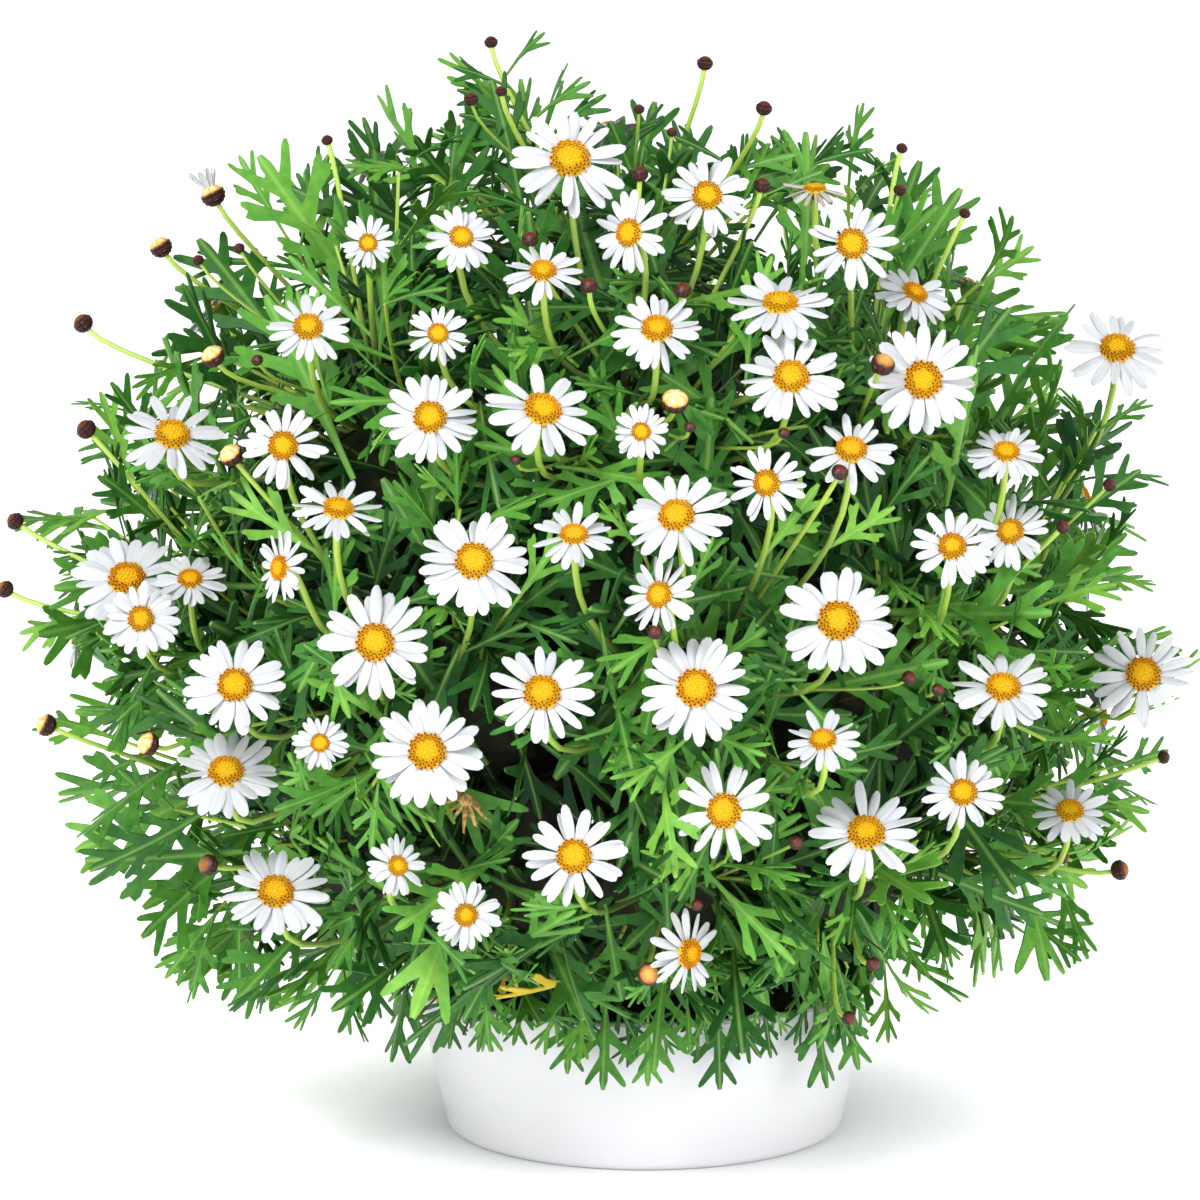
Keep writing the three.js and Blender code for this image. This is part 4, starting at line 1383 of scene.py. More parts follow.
# Short twigs deep in the photographed side, their leaves painted dark as painted shade
INNER_TWIGS = 150
INNER_TWIG_SHELLS = (150, 188)
INNER_TWIG_FACING = 0.35
INNER_TWIG_TURN = 40
INNER_TWIG_LEAVES = 6
INNER_SHADE_TONE = -0.2

# The tones of the brightest green leaf and of a yellow one
BRIGHTEST_LEAF = 0.88
YELLOW_TONE = 1.35

# The foliage's outline from the photograph's viewpoint, by direction round the bush's middle from the
# right and upwards: how far out it is full, and how far out its last tips reach. Most leaves stay inside
# the full outline by the softness, and few come near the last.
OUTLINE_STEP = 15
OUTLINE_SOFTNESS = 30
OUTLINE_RARITY = 2.3
OUTLINE_FULL = (
    250, 228, 236, 238, 228, 184, 232, 222, 250, 250, 218, 262,
    270, 266, 262, 238, 210, 212, 218, 216, 222, 186, 266, 256,
)
OUTLINE_LAST = (
    268, 266, 259, 266, 256, 226, 244, 262, 270, 274, 268, 274,
    276, 280, 286, 274, 248, 225, 230, 235, 242, 246, 272, 274,
)

# A large leaf is drawn in by steps until it stays in the outline as a leaf of this looseness does
STANDING_LOOSENESS = 0.92
STANDING_STEPS = 8
STANDING_STEP = 0.92

# From this share of the full outline outwards this share of the leaves is left out, but below this height
# none over the pot. A leaf's chance to be left out comes from its looseness by this factor.
GAPS_FROM = 0.72
GAPS = 0.5
GAPS_ABOVE = 170
GAP_CHANCES = 7

# Leaves that point more than this towards the viewer are slender
POINTS_FORWARD = 0.6

# Pixels of the tips of sprigs that stand out of the photographed outline
SPRIG_TIPS = (
    (497, 40), (385, 95), (215, 150), (650, 105), (800, 122), (888, 110), (1048, 226),
    (1183, 378), (62, 380), (8, 500), (45, 450), (20, 612), (1175, 560), (1194, 740),
    (1188, 792), (1160, 905), (1082, 958), (290, 1032), (152, 965), (932, 1040),
)
SPRIG_LEAF_REACH = 36
SPRIG_ROOM = 4

# Twigs are numbered through: the evenly spread ones, those over the rim, the sprigs, the inner ones
FIRST_SKIRT_TWIG = TWIGS
FIRST_SPRIG = FIRST_SKIRT_TWIG + SKIRT_TWIGS
FIRST_INNER_TWIG = FIRST_SPRIG + len(SPRIG_TIPS)

# Pixels of buds whose stalks carry leaves nearly up to them, how many, how far below, and how long
LEAFY_STALKS = ((491, 42), (764, 108))
NECK_LEAVES = 9
NECK_LEAVES_BELOW = (8, 62)
NECK_LEAF_LENGTH = (24, 40)

# Pixels of the tips of leaves that hang in front of the bowl, how far they stand out from its rim, and
# how each twig's three leaves swing to the sides of the tip
HANGING_TIPS = (
    (393, 1062), (445, 1048), (478, 1052), (515, 1046), (566, 1074), (603, 1090),
    (648, 1086), (690, 1052), (722, 1090), (772, 1058), (826, 1088), (858, 1070),
)
HANGING_OUT = 13
HANGING_SWINGS = (0, -0.55, 0.6)
HANGING_TONES = (0.2, 0.75)

# Steps by which heads of the far side are drawn in
DRAW_STEP = 3
DRAW_STEPS = 8

# Pixels of a leaf that has turned yellow and of a dried flower deep in the bush
YELLOW_LEAF = (500, 1008)
DRIED_FLOWER = (466, 800)
DRIED_RAYS = 11

# Leaves on the lower part of a head's stalk, where it bends into the bush: how many, their length, the
# first number that their repeatable values are drawn from, and the length of the leaf before the bend
KNEE_LEAVES = 4
KNEE_LEAF_LENGTH = (34, 54)
FIRST_KNEE_SEED = 9000
COVER_LEAF_LENGTH = (26, 60)

# Bare brown twigs for each main shoot
DEAD_TWIGS = 5


def seen_at(point):
    """How far right of and above the view's aim a point is seen, in millimetres at the aim's distance"""
    rel = point - VIEW_AIM
    nearer = VIEW_DISTANCE / (VIEW_DISTANCE - rel.dot(TO_VIEWER))
    return rel.dot(VIEW_RIGHT) * nearer, rel.dot(VIEW_UP) * nearer


def outline_at(point):
    """How far out a point is seen, and how far out the bush is full and its last tips reach there"""
    right, up = seen_at(point)
    middle_right, middle_up = seen_at(BUSH_CENTRE)
    right -= middle_right
    up -= middle_up
    place = math.degrees(math.atan2(up, right)) % 360 / OUTLINE_STEP
    first = int(place)
    nearest = [first % len(OUTLINE_FULL), (first + 1) % len(OUTLINE_FULL)]
    full, last = (mix(*(row[i] for i in nearest), place - first) for row in (OUTLINE_FULL, OUTLINE_LAST))
    return math.hypot(right, up), full, last


def past_outline(point, looseness):
    """Whether a point is seen further out than a leaf of this looseness may reach"""
    out, full, last = outline_at(point)
    return out > mix(full - OUTLINE_SOFTNESS, last, looseness**OUTLINE_RARITY)


def in_gap(point, chance):
    """Whether a leaf near the photographed outline is left out, to leave gaps there"""
    out, full, _ = outline_at(point)
    over_pot = abs(point.x) < POT_RIM_RADIUS and point.z < GAPS_ABOVE
    return out > full * GAPS_FROM and chance < GAPS and not over_pot


def draw_in(flowers):
    """Draws the heads of the far side in where they would stand out of the photographed outline"""
    for flower in flowers:
        inward = (BUSH_CENTRE - flower.place).normalized() * DRAW_STEP
        for _ in range(DRAW_STEPS):
            if not flower.seen and past_outline(flower.place, 0.5):
                flower.place = flower.place + inward
                flower.path = [point + inward for point in flower.path[:-1]] + flower.path[-1:]


SMALL = plan_small_buds()
DRIED = Flower(place_mark(*DRIED_FLOWER, 30), face_viewer(30, 20), 20, False, True)
SHOWN = FLOWERS + SMALL + [DRIED]
draw_in(FLOWERS)
HEAD_PLACES = np.array([flower.place for flower in SHOWN])
HEAD_LOOKS = np.array([flower.look for flower in SHOWN])
HEAD_RADII = np.array([flower.wide / 2 for flower in SHOWN])
HEAD_SEEN = np.array([flower.seen for flower in SHOWN])
HEAD_MARGINS = np.array([4 if flower.head else 9 for flower in SHOWN])
STALK_SPOTS = np.array([
    curve_point(flower.path, t) for flower in FLOWERS if flower.seen for t in (0.06, 0.12, 0.18, 0.24)
])


def covers_flower(plan):
    """Whether a leaf would stand before a flower's face, or between the viewer and a flower or its stalk"""
    for along in (0.35, 0.6, 0.8, 1.0):
        spot = as_row(plan.point(along))
        rel = spot - HEAD_PLACES
        ahead = np.einsum("ij,ij->i", rel, HEAD_LOOKS)
        beside = np.linalg.norm(rel - ahead[:, None] * HEAD_LOOKS, axis=1)
        if np.any((ahead > -4) & (ahead < 45) & (beside < HEAD_RADII * 0.92 + 1)):
            return True
        nearer = rel @ as_row(TO_VIEWER)
        aside = np.linalg.norm(rel - np.outer(nearer, as_row(TO_VIEWER)), axis=1)
        if np.any(HEAD_SEEN & (nearer > -6) & (aside < HEAD_RADII * 0.9 + HEAD_MARGINS)):
            return True
        rel = spot - STALK_SPOTS
        nearer = rel @ as_row(TO_VIEWER)
        aside = np.linalg.norm(rel - np.outer(nearer, as_row(TO_VIEWER)), axis=1)
        if np.any((nearer > -2) & (aside < 6)):
            return True
    return False


def near_pixel(point, pixel, most):
    right, up = seen_at(point)
    across = PICTURE_MIDDLE + right / MM_PER_PIXEL - pixel[0]
    down = PICTURE_MIDDLE - up / MM_PER_PIXEL - pixel[1]
    return math.hypot(across, down) < most


def fits_bush(plan, looseness, reach=None):
    """Whether a leaf's tip stays in the bush's outline, or in a sprig's own reach, and clear of the pot"""
    tip = plan.point(1)
    outside = (tip - BUSH_CENTRE).length > reach if reach else past_outline(tip, looseness)
    if not reach and in_gap(tip, looseness * GAP_CHANCES % 1):
        return False
    if outside or tip.z < LOWEST_LEAF_TIP or (tip - BUSH_CENTRE).length > LEAF_LIMIT:
        return False
    return tip.z > POT_HEIGHT + POT_ROOM or math.hypot(tip.x, tip.y) > POT_RIM_RADIUS + POT_ROOM


def plan_twigs():
    """Twig ends spread evenly over the bush, each with the shoot that its twig leaves"""
    twigs = []
    for i in range(TWIGS):
        away = even_direction(i, TWIGS)
        end = BUSH_CENTRE + away * mix(*TWIG_SHELLS, share(i, 21))
        if away.dot(TO_VIEWER) > OPEN_FRONT and i % OPEN_FRONT_EVERY == 0:
            continue
        if end.z < TWIG_LOWEST or (end.z < POT_HEIGHT + 30 and math.hypot(end.x, end.y) < TWIG_CLEAR_OF_POT):
            continue
        twigs.append((i, shoot_towards(end), end, None))
    for i in range(SKIRT_TWIGS):
        turn = 2 * math.pi * i / SKIRT_TWIGS
        out = mix(*SKIRT_REACH, share(i, 18))
        end = Vector((out * math.cos(turn), out * math.sin(turn), mix(*SKIRT_HEIGHT, share(i, 19))))
        twigs.append((FIRST_SKIRT_TWIG + i, shoot_towards(end), end, None))
    for i, (px, py) in enumerate(SPRIG_TIPS):
        tip = place_mark(px, py, 0)
        reach = (tip - BUSH_CENTRE).length
        end = tip - (tip - BUSH_CENTRE) * (SPRIG_LEAF_REACH / reach)
        twigs.append((FIRST_SPRIG + i, shoot_towards(end), end, reach + SPRIG_ROOM))
    for i in range(INNER_TWIGS):
        away = even_direction(i, INNER_TWIGS, INNER_TWIG_TURN)
        end = BUSH_CENTRE + away * mix(*INNER_TWIG_SHELLS, share(i, 91))
        if away.dot(TO_VIEWER) > INNER_TWIG_FACING and end.z > POT_HEIGHT + 20:
            twigs.append((FIRST_INNER_TWIG + i, shoot_towards(end), end, None))
    return twigs


def plan_side_leaf(way, base, number, k, attempt):
    """One of the ways in which a twig's leaf may stand"""
    seed = number * SEEDS_PER_TWIG + k
    part = (k + 0.6) / TWIG_LEAVES
    side, across = square_to(way)
    turn = math.radians(GOLDEN_ANGLE * (k + 5 * attempt) + 360 * share(number, 24))
    wide_open = math.radians(mix(*SIDE_LEAF_OPEN, part) + mix(-12, 12, share(seed, 25 + attempt)))
    along = turned(way, turned(side, across, turn), wide_open)
    along = (along - UP * 0.25 * clamp(0.2 - along.z, 0, 1)).normalized()
    roll = math.radians(mix(-35, 35, share(seed, 30)))
    level = squared(way, along)
    face = turned(level, level.cross(along), roll)
    length = mix(*SIDE_LEAF_LENGTH, share(seed, 31)) * mix(1.1, 0.75, part)
    length *= 1 - SIDE_LEAF_SHORTER * attempt
    return LeafPlan(base, along, face, length, mix(0.04, 0.3, share(seed, 32)))


def lay_twig(stems, leaves, number, shoot, end, reach):
    """A twig from its shoot to its last leaf, or nothing where too few leaves find room"""
    root = shoot.on_axis(shoot.reach * mix(0.32, 0.5, share(number, 22)))
    span = (end - root).length
    middle = root + shoot.axis * span * 0.45 + UP * span * 0.08 * share(number, 23)
    path = [root, middle, end]
    found = []
    inner = number >= FIRST_INNER_TWIG
    for k in range(TWIG_LEAVES - INNER_TWIG_LEAVES if inner else 0, TWIG_LEAVES):
        part = (k + 0.6) / TWIG_LEAVES
        t = mix(0.5, 1, part)
        base = curve_point(path, t)
        way = (curve_point(path, min(t + 0.05, 1.0)) - curve_point(path, t - 0.05)).normalized()
        for attempt in range(SIDE_LEAF_TRIES):
            plan = plan_side_leaf(way, base, number, k, attempt)
            looseness = share(number * SEEDS_PER_TWIG + k, 37)
            if fits_bush(plan, looseness, reach) and not covers_flower(plan):
                found.append((k, t, part, plan))
                break
    if len(found) < TWIG_FEWEST_LEAVES:
        return
    for k, t, part, plan in found:
        lay_side_leaf(leaves, plan, number * SEEDS_PER_TWIG + k, part, inner)
    last = found[-1][1]
    bare = [root, root.lerp(middle, last), curve_point(path, last)]
    lay_tube(stems, TWIG_TUBE, bare, TWIG_RADII, (0.15, 0.8))


def lay_knee_leaves(leaves, flower, number):
    """A tuft on the lower part of a head's stalk, where it bends into the bush"""
    for k in range(KNEE_LEAVES):
        seed = number * KNEE_LEAVES + k
        base = curve_point(flower.path, mix(0.42, 0.8, (k + 0.5) / KNEE_LEAVES))
        outward = (base - BUSH_CENTRE).normalized()
        side, across = square_to(outward)
        turn = math.radians(GOLDEN_ANGLE * seed)
        beside = turned(side, across, turn)
        for attempt in range(SIDE_LEAF_TRIES):
            opening = math.radians(mix(35, 75, share(seed, 95 + attempt)))
            along = turned(outward, beside, opening)
            face = squared(outward, along)
            length = mix(*KNEE_LEAF_LENGTH, share(seed, 96)) * (1 - SIDE_LEAF_SHORTER * attempt)
            plan = LeafPlan(base, along, face, length, mix(0.05, 0.3, share(seed, 97)))
            if fits_bush(plan, share(seed, 98)) and not covers_flower(plan):
                lay_side_leaf(leaves, plan, FIRST_KNEE_SEED + seed, 1, False)
                break
    lay_cover_leaf(leaves, flower, number)


def lay_cover_leaf(leaves, flower, number):
    """A small leaf that runs up before the bend of a head's stalk"""
    base = curve_point(flower.path, 0.7) + TO_VIEWER * 3
    along = curve_point(flower.path, 0.28) + TO_VIEWER * 7 - base
    length = clamp(along.length * 1.15, *COVER_LEAF_LENGTH)
    along.normalize()
    plan = LeafPlan(base, along, squared(TO_VIEWER, along), length, 0.05)
    if not covers_flower(plan):
        lay_blade(leaves, SMALL_BLADE, plan, 0.6 * share(number, 99), keel=0.2)


def lay_neck_leaves(leaves, flower):
    """Slender leaves close under a bud, in turn to the left and the right of its stalk"""
    rise = (flower.path[0] - flower.path[-1]).normalized()
    for k in range(NECK_LEAVES):
        opening = math.radians(mix(25, 60, share(k, 101)))
        side = VIEW_RIGHT * (1 if k % 2 else -1)
        base = flower.path[0] - rise * mix(*NECK_LEAVES_BELOW, k / NECK_LEAVES)
        along = blend((rise, math.cos(opening)), (side, math.sin(opening)), (TO_VIEWER, 0.2)).normalized()
        face = squared(blend((rise, 0.7), (TO_VIEWER, 0.7)), along)
        length = mix(*NECK_LEAF_LENGTH, k / NECK_LEAVES)
        plan = LeafPlan(base, along, face, length, mix(0.1, 0.3, share(k, 102)))
        if not covers_flower(plan):
            lay_blade(leaves, SMALL_BLADE, plan, mix(0.2, 0.6, share(k, 103)))


def hanging_spot(px, py):
    """Where the line of sight through a pixel comes within a leaf's reach of the bowl's rim"""
    eye = VIEW_AIM + TO_VIEWER * VIEW_DISTANCE
    to_right = VIEW_RIGHT * ((px - PICTURE_MIDDLE) * MM_PER_PIXEL)
    to_top = VIEW_UP * ((PICTURE_MIDDLE - py) * MM_PER_PIXEL)
    sight = (to_right + to_top - TO_VIEWER * VIEW_DISTANCE).normalized()
    flat = sight.xy.length_squared
    towards = eye.xy.dot(sight.xy) / flat
    beyond = (eye.xy.length_squared - (POT_RIM_RADIUS + HANGING_OUT) ** 2) / flat
    return eye + sight * (-towards - math.sqrt(max(towards * towards - beyond, 0)))


def lay_hanging_sprigs(leaves, stems, shoot):
    """Twigs that reach over the bowl's rim, each with three leaves that hang in front of it"""
    for i, (px, py) in enumerate(HANGING_TIPS):
        tip = hanging_spot(px, py)
        outward = Vector((tip.x, tip.y, 0)).normalized()
        base = outward * (POT_RIM_RADIUS + POT_ROOM) + UP * (POT_HEIGHT + mix(6, 22, share(i, 111)))
        if shoot_towards(base) is not shoot:
            continue
        path = [shoot.on_axis(shoot.reach * 0.3), base + UP * 24 - outward * 8, base]
        lay_tube(stems, TWIG_TUBE, path, TWIG_RADII, (0.15, 0.7))
        beside = UP.cross(outward)
        for k, swing in enumerate(HANGING_SWINGS):
            along = ((tip - base).normalized() + beside * swing).normalized()
            length = (tip - base).length * (1 if k == 0 else mix(0.6, 0.85, share(i, 112 + k)))
            tone = mix(*HANGING_TONES, share(i, 115 + k))
            arch = mix(-0.08, 0.1, share(i, 118 + k))
            twist = mix(-0.5, 0.5, share(i, 121 + k))
            plan = LeafPlan(base, along, squared(outward, along), length, arch)
            if not covers_flower(plan):
                lay_blade(leaves, BROAD_BLADE if k == 0 else SLENDER_BLADE, plan, tone, twist=twist)


def lay_standing_leaf(leaves, plan, tone):
    """A large leaf, drawn in where it would hide a flower or stand out of the photographed outline"""
    for _ in range(STANDING_STEPS):
        if not covers_flower(plan) and not past_outline(plan.point(1), STANDING_LOOSENESS):
            break
        plan.length *= STANDING_STEP
    if plan.along.dot(TO_VIEWER) > POINTS_FORWARD:
        lay_blade(leaves, SLENDER_BLADE, plan, tone * 0.5)
    else:
        lay_blade(leaves, LARGE_BLADE, plan, tone)


def lay_dead_twigs(bunch, shoot):
    """Thin brown twigs left bare among the leaves"""
    for i in range(DEAD_TWIGS):
        seed = shoot.number * DEAD_TWIGS + i
        root = shoot.on_axis(shoot.reach * mix(0.35, 0.6, share(seed, 81)))
        away = shoot.off_axis(mix(8, 20, share(seed, 82)), 360 * share(seed, 83))
        end = HUB + away * shoot.reach * mix(0.74, 0.88, share(seed, 84))
        bend = root.lerp(end, 0.5) + shoot.side * mix(-14, 14, share(seed, 85))
        bend = bend + UP * mix(-6, 10, share(seed, 86))
        last = end - bend
        if not covers_flower(LeafPlan(bend, last.normalized(), shoot.side, last.length, 0)):
            lay_tube(bunch, TWIG_TUBE, [root, bend, end], (0.9, 0.5), (0.5, 0.5))


def lay_dried_flower():
    """A flower that has dried up among the leaves: a brown disc and a few shrivelled rays"""
    flower, place = DRIED, DRIED.place
    dried = Bunch()
    disc = flower.wide / 2 * DISC_SHARE
    lay_upright(dried, DOME, place, flower.look, (disc, disc, disc * 1.6), 1)
    side, across = square_to(flower.look)
    for i in range(DRIED_RAYS):
        away = turned(side, across, 2 * math.pi * i / DRIED_RAYS)
        along = (away - flower.look * mix(0.1, 1.0, share(i, 92))).normalized()
        face = squared(flower.look, along)
        plan = LeafPlan(place + away * disc * 0.8, along, face, mix(7, 12, share(i, 93)), 0.3)
        lay_blade(dried, RAY, plan, 1, keel=0.8, twist=mix(-1.5, 1.5, share(i, 94)), broad=0.8)
    root = flower.shoot.on_axis(flower.shoot.reach * 0.5)
    path = [place, place - flower.look * 14, place.lerp(root, 0.6), root]
    lay_tube(dried, TWIG_TUBE, path, (1.0, 1.0), (0.5, 0.5))
    dried.make("dried_flower", DRIED_FINISH, "bloom")


def lay_side_leaf(leaves, plan, seed, part, inner):
    """A small leaf: deeper ones are painted darker as painted shade, and those near the twig's foot are
    plainer
    """
    # Painted shade: leaves deeper in the bush get a lower tone, so a darker green, and leaves on inner twigs
    # get a lower one still
    depth = (plan.point(0.7) - BUSH_CENTRE).length / LEAF_SHELL
    tone = min(clamp((depth - 0.7) * 1.9, 0, 0.48) + 0.58 * share(seed, 33) ** 1.3, BRIGHTEST_LEAF)
    if inner:
        tone = tone * 0.6 + INNER_SHADE_TONE
    if near_pixel(plan.point(1), YELLOW_LEAF, 15) and plan.base.y < 0:
        tone = YELLOW_TONE
    kind = share(seed, 34)
    if inner or part < 0.5:
        shape = SMALL_BLADE
    elif kind < 0.5 and plan.along.dot(TO_VIEWER) < POINTS_FORWARD:
        shape = BROAD_BLADE
    else:
        shape = SLENDER_BLADE
    keel = mix(0.1, 0.4, share(seed, 35))
    lay_blade(leaves, shape, plan, tone, keel=keel, twist=mix(-0.5, 0.5, share(seed, 36)))


# The dark club that stands for the shade inside the foliage, as painted shade: its steps, and the angle that
# it widens by on upper and on low shoots
SHADE_MASS_STEPS = 6
SHADE_MASS_LEAN = 11
LOW_SHADE_MASS_LEAN = 14


def model_shade_mass():
    """A club along +Z, one unit long, with a rough skin: a dark mass of painted shade for the inside of the
    foliage
    """
    start_ring(9, 0.16)
    for step in range(SHADE_MASS_STEPS):
        pick("faces", lambda spot, low=step / SHADE_MASS_STEPS: spot.z > low - NEAR)
        centre = (0, 0, (step + 1) / SHADE_MASS_STEPS)
        size = (step + 3) / (step + 2) if step < SHADE_MASS_STEPS - 1 else 0.6
        extrude((0, 0, 1 / SHADE_MASS_STEPS), size, 0, centre)
    close_shape()
    harden("SUBSURF", levels=1, render_levels=1, subdivision_type="SIMPLE")
    harden("TRIANGULATE")
    return Shape()


SHADE_MASS = model_shade_mass()


def lay_shade_mass(bunch, shoot):
    """The dark inside of a shoot's foliage as painted shade: a rough club round its axis"""
    start, end = STEM_START - 12, shoot.reach * 0.66
    lean = SHADE_MASS_LEAN if shoot.axis.z > 0.2 else LOW_SHADE_MASS_LEAN
    widest = end * math.tan(math.radians(lean)) / np.abs(SHADE_MASS.points[:, :2]).max()
    rough = np.array([0.78 + 0.44 * share(shoot.number * 977 + i, 41) for i in range(len(SHADE_MASS.points))])
    x = SHADE_MASS.points[:, 0] * widest * rough
    y = SHADE_MASS.points[:, 1] * widest * rough
    z = start + (end - start) * SHADE_MASS.points[:, 2] * (0.9 + 0.1 * rough)
    ways = as_row(shoot.side), as_row(shoot.across), as_row(shoot.axis)
    points = as_row(HUB) + np.outer(x, ways[0]) + np.outer(y, ways[1]) + np.outer(z, ways[2])
    bunch.add(SHADE_MASS, points, 0.0)


def make_foliage():
    """The leaves, stems, dark mass of painted shade inside, and dead twigs of every main shoot"""
    twigs = plan_twigs()
    for shoot in SHOOTS:
        node = f"leafy_stem_{shoot.label}"
        leaves, stems, inner, dead = Bunch(), Bunch(), Bunch(), Bunch()
        stem = [shoot.on_axis(STEM_START - 4), shoot.on_axis(shoot.reach * STEM_TIP)]
        lay_tube(stems, STALK_TUBE, stem, (3, 2.2), (0, 0.4))
        for k, plan in enumerate(standing_leaves(shoot)):
            tone = mix(0.25, 0.8, share(shoot.number * LEAVES + k, 51))
            lay_standing_leaf(leaves, plan, tone)
        for number, owner, end, reach in twigs:
            if owner is shoot:
                lay_twig(stems, leaves, number, shoot, end, reach)
        for number, flower in enumerate(FLOWERS):
            if flower.shoot is not shoot:
                continue
            if flower.head and flower.seen:
                lay_knee_leaves(leaves, flower, number)
            if any(near_pixel(flower.place, pixel, 8) for pixel in LEAFY_STALKS):
                lay_neck_leaves(leaves, flower)
        lay_hanging_sprigs(leaves, stems, shoot)
        # A near-black club inside the foliage, as painted shade
        lay_shade_mass(inner, shoot)
        lay_dead_twigs(dead, shoot)
        leaves.make(f"leaves_{shoot.label}", LEAF_FINISH, "leaf", node)
        stems.make(f"stems_{shoot.label}", STALK_FINISH, "leaf", node)
        inner.make(f"shade_mass_{shoot.label}", SHADE_MASS_FINISH, "bark", node, smooth=20)
        if dead.count:
            dead.make(f"dead_twigs_{shoot.label}", BARK_FINISH, "bark", node)
    lay_dried_flower()


# The pot, its soil and the woody base
POT_SIDES = 96
HEEL_ROUNDING = 4.5
HEEL_STEPS = 6
LIP_ROUNDING = 2
LIP_STEPS = 5

# How far the flat of the foot and of the floor inside stop short of where their roundings begin
FOOT_INSET = 2

# Loops up the bowl's wall, each a height and how far the wall dips in there
POT_RINGS = (
    (9, 0), (12, 0.2), (13.5, 0), (24, 0), (25.5, 0.25), (27, 0), (41, 0), (42, 0.15), (43, 0),
    (60, 0), (61.5, 0.2), (63, 0), (69, 0),
)


def outer(height):
    """The bowl's radius outside, at a height"""
    lean = (POT_RIM_RADIUS - POT_HEEL_RADIUS) / (POT_HEIGHT - POT_HEEL_HEIGHT)
    return POT_HEEL_RADIUS + lean * (height - POT_HEEL_HEIGHT)


def make_pot():
    """The bowl, drawn out ring by ring from its base, with a rounded heel and lip"""
    middle = outer(HEEL_ROUNDING) - HEEL_ROUNDING
    rings = [(middle - FOOT_INSET, 0)]
    for step in range(HEEL_STEPS):
        turn = math.radians(16 * step)
        rings.append((middle + HEEL_ROUNDING * math.sin(turn), HEEL_ROUNDING * (1 - math.cos(turn))))
    rings += [(outer(height) - dip, height) for height, dip in POT_RINGS]
    for step in range(LIP_STEPS):
        turn = math.radians(45 * step)
        out = POT_RIM_RADIUS - LIP_ROUNDING + LIP_ROUNDING * math.cos(turn)
        rings.append((out, POT_HEIGHT - LIP_ROUNDING + LIP_ROUNDING * math.sin(turn)))
    rings += [(outer(height) - POT_WALL, height) for height in (50, 14)]
    rings.append((POT_FLAT_RADIUS - FOOT_INSET, POT_FLOOR))
    deselect()
    bpy.ops.mesh.primitive_circle_add(vertices=POT_SIDES, radius=rings[0][0] * MM, fill_type="NGON")
    piece = bpy.context.object
    piece.name = "bowl"
    edit()
    select_all()
    bpy.ops.mesh.flip_normals()
    bpy.ops.mesh.select_mode(type="EDGE")
    bpy.ops.mesh.region_to_loop()
    for (last, low), (radius, height) in zip(rings, rings[1:]):
        centre = (0, 0, height * MM)
        bpy.ops.mesh.extrude_edges_move(TRANSFORM_OT_translate={"value": (0, 0, (height - low) * MM)})
        bpy.ops.transform.resize(value=(radius / last, radius / last, 1), center_override=centre)
    bpy.ops.mesh.edge_face_add()
    close_shape()
    return settle(piece, POT_FINISH, "pot", "pot", smooth=35)


# Crumbs on the soil: how many, how far out they lie, and their smallest and largest radius
CRUMBS = 420
CRUMBS_REACH = 94
CRUMB_SIZES = (1.2, 3.6)


def make_crumbs():
    """Loose crumbs of potting mix over the soil"""
    deselect()
    bpy.ops.mesh.primitive_ico_sphere_add(subdivisions=1, radius=1)
    edit()
    select_all()
    bpy.ops.transform.vertex_random(offset=0.3, seed=4)
    leave_edit()
    crumb = Shape()
    bunch = Bunch()
    for i in range(CRUMBS):
        out = math.sqrt(share(i, 61)) * CRUMBS_REACH
        turn = 2 * math.pi * share(i, 62)
        place = Vector((out * math.cos(turn), out * math.sin(turn), SOIL_MOUND - 3 * out / 100 + 0.4))
        size = mix(*CRUMB_SIZES, share(i, 63) ** 2)
        if (place - Vector((HUB.x, HUB.y, place.z))).length > CROWN_RADIUS + 3:
            lay_upright(bunch, crumb, place, UP, (size, size * 0.8, size * 0.6), share(i, 64), turn=i)
    bunch.make("soil_crumbs", SOIL_FINISH, "soil", smooth=10)


# The trunk from its foot in the soil up to the knuckle, in steps of a rise and a size
WOOD_FOOT = 38
WOOD_STEPS = (
    (22, 1.02), (6, 0.78), (12, 0.86), (30, 0.95), (30, 0.98), (20, 1.4), (12, 1.25), (10, 0.85), (6, 0.4),
)


def make_wood():
    """Root crown, trunk, knuckle and pruned limbs, with ridged bark"""
    start_ring(14, CROWN_RADIUS - 1, WOOD_FOOT)
    draw_up(WOOD_FOOT, WOOD_STEPS)
    close_shape()
    harden("SUBSURF", levels=1, render_levels=1)
    trunk = Shape()
    ripple = np.array([0.94 + 0.12 * share(i, 71) for i in range(len(trunk.points))])
    trunk.points[:, :2] *= ripple[:, None]
    bunch = Bunch()
    lay_upright(bunch, trunk, Vector((HUB.x, HUB.y, 0)), UP, (1, 1, 1), 0.5)
    for shoot in SHOOTS:
        path = [HUB, shoot.on_axis(STEM_START / 2) - UP * 3, shoot.on_axis(STEM_START - 1)]
        lay_tube(bunch, STALK_TUBE, path, (6.5, 3.2), (0.5, 0.7))
    bunch.make("wood", BARK_FINISH, "bark", "woody_base", smooth=50)


def finish_soil():
    """The soil keeps its solid and takes a grainy finish"""
    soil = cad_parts["soil"]
    for each in soil.material_slots:
        each.material = SOIL_FINISH


# The floor: half its side, its glow, and how far out and how fast that grows round the pot, in metres
FLOOR_HALF = 24
FLOOR_GLOW = 0.75
GLOW_FROM = 0.085
GLOW_SLOPE = 7.0

# Lamps: place, width and power, all turned towards one spot
LIT_SPOT = Vector((0, 0, 0.2))
KEY_LIGHT = (Vector((-0.95, -2.35, 2.3)), 1.2, 86)
FILL_LIGHT = (Vector((2.2, -1.8, 1.2)), 2.4, 36)
FRONT_LIGHT = (Vector((-1.6, -2.6, 0.5)), 2.0, 16)

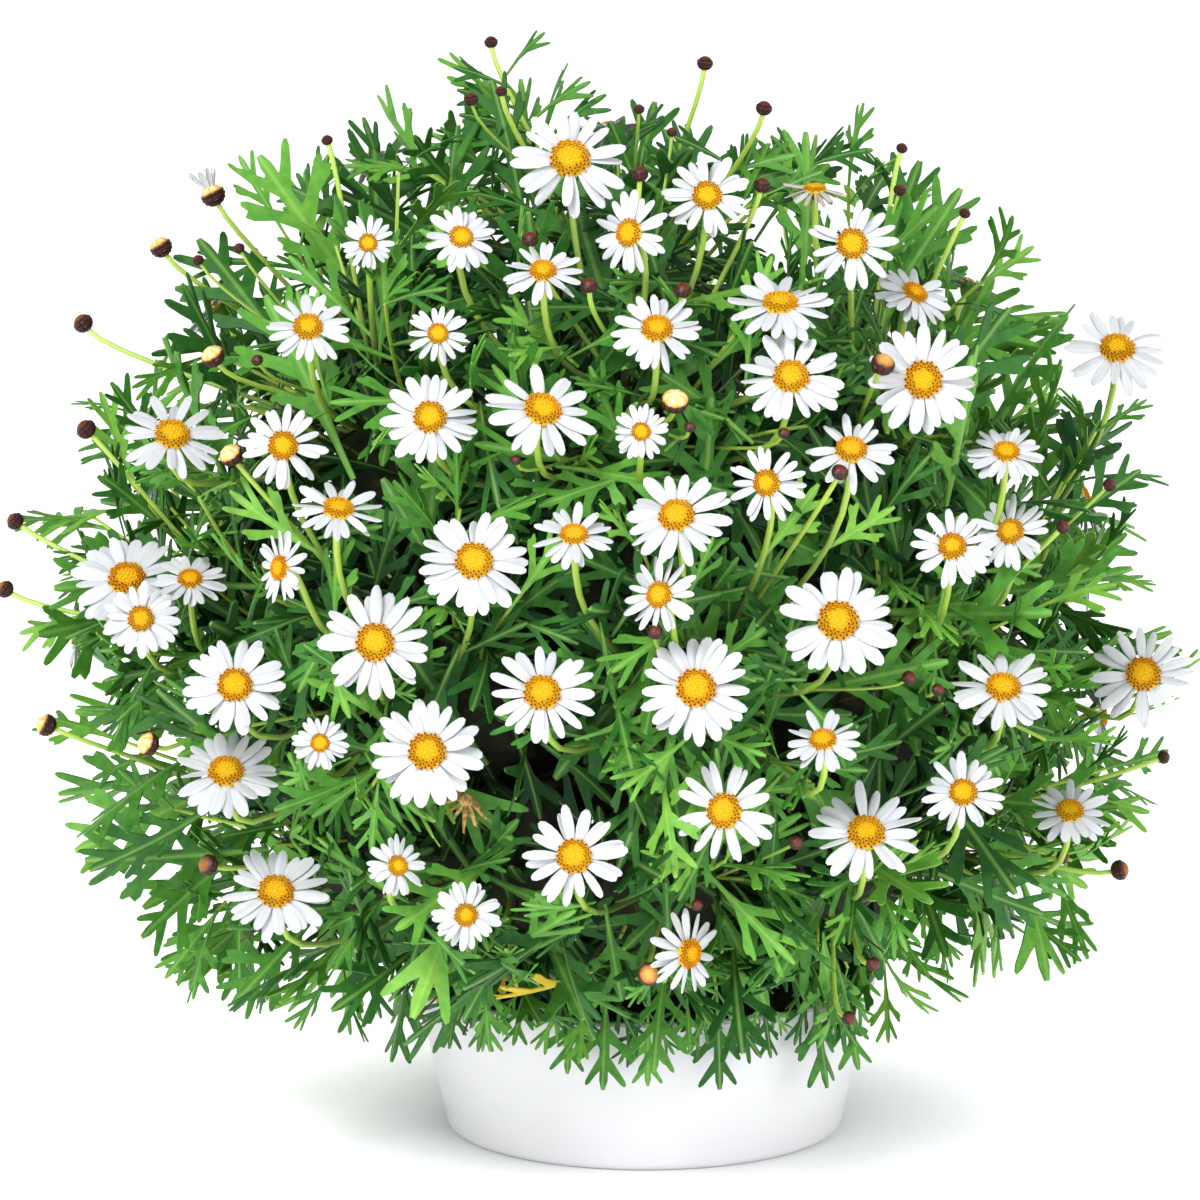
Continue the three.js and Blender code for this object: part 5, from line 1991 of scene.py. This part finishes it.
# The room's brightness towards the horizon and overhead, and the heights between which it changes
ROOM_LOW = 1.0
ROOM_HIGH = 0.36
ROOM_CHANGE = (0.2, 0.5)


def light_scene():
    """Three soft lamps in a pale room"""
    for name, (place, size, power) in (("key", KEY_LIGHT), ("fill", FILL_LIGHT), ("front", FRONT_LIGHT)):
        lamp = bpy.data.lights.new(name, "AREA")
        lamp.shape = "DISK"
        lamp.size = size
        lamp.energy = power
        lamp_object = bpy.data.objects.new(name, lamp)
        lamp_object.location = place
        lamp_object.rotation_euler = (place - LIT_SPOT).to_track_quat("Z", "Y").to_euler()
        bpy.context.scene.collection.objects.link(lamp_object)
    world = bpy.data.worlds.new("pale_room")
    world.use_nodes = True
    background = world.node_tree.nodes["Background"]
    background.inputs["Color"].default_value = (0.98, 0.99, 1.0, 1)
    direction = world.node_tree.nodes.new("ShaderNodeTexCoord").outputs["Generated"]
    parts = world.node_tree.nodes.new("ShaderNodeSeparateXYZ")
    change = world.node_tree.nodes.new("ShaderNodeMapRange")
    limits = (*ROOM_CHANGE, ROOM_LOW, ROOM_HIGH)
    for name, value in zip(("From Min", "From Max", "To Min", "To Max"), limits):
        change.inputs[name].default_value = value
    world.node_tree.links.new(direction, parts.inputs[0])
    world.node_tree.links.new(parts.outputs["Z"], change.inputs["Value"])
    world.node_tree.links.new(change.outputs["Result"], background.inputs["Strength"])
    bpy.context.scene.world = world
    bpy.context.scene.view_settings.view_transform = "Standard"


def lay_floor():
    """A pale floor that glows away from the pot, as painted light that lightens the shade cast on it"""
    deselect()
    bpy.ops.mesh.primitive_plane_add(size=2 * FLOOR_HALF)
    floor = bpy.context.object
    floor.name = "floor"
    paint = Paint("pale_floor", 0.9)
    paint.shader.inputs["Base Color"].default_value = (0.93, 0.93, 0.94, 1)
    paint.shader.inputs["Emission Color"].default_value = (1, 1, 1, 1)
    place = paint.add("ShaderNodeTexCoord").outputs["Object"]
    away = paint.add("ShaderNodeVectorMath", operation="LENGTH")
    paint.join(place, away.inputs[0])
    # Painted light: no glow next to the pot, rising further out up to FLOOR_GLOW
    glow = paint.times(paint.minus(away.outputs["Value"], GLOW_FROM), GLOW_SLOPE)
    glow = paint.sum("MINIMUM", paint.sum("MAXIMUM", glow, 0.0), FLOOR_GLOW)
    paint.join(glow, paint.shader.inputs["Emission Strength"])
    paint.material.cycles.emission_sampling = "NONE"
    floor.data.materials.append(paint.material)


def place_camera():
    """The camera from the photograph's viewpoint"""
    lens = bpy.data.cameras.new("viewpoint")
    lens.sensor_width = SENSOR_WIDTH
    lens.lens = SENSOR_WIDTH * VIEW_DISTANCE / (PICTURE_WIDTH * MM_PER_PIXEL)
    lens.clip_end = 100
    camera = bpy.data.objects.new("viewpoint", lens)
    camera.location = (VIEW_AIM + TO_VIEWER * VIEW_DISTANCE) * MM
    camera.rotation_euler = TO_VIEWER.to_track_quat("Z", "Y").to_euler()
    bpy.context.scene.collection.objects.link(camera)
    bpy.context.scene.camera = camera


make_pot()
finish_soil()
make_crumbs()
make_wood()
make_foliage()
make_flowers()
lay_floor()
light_scene()
place_camera()
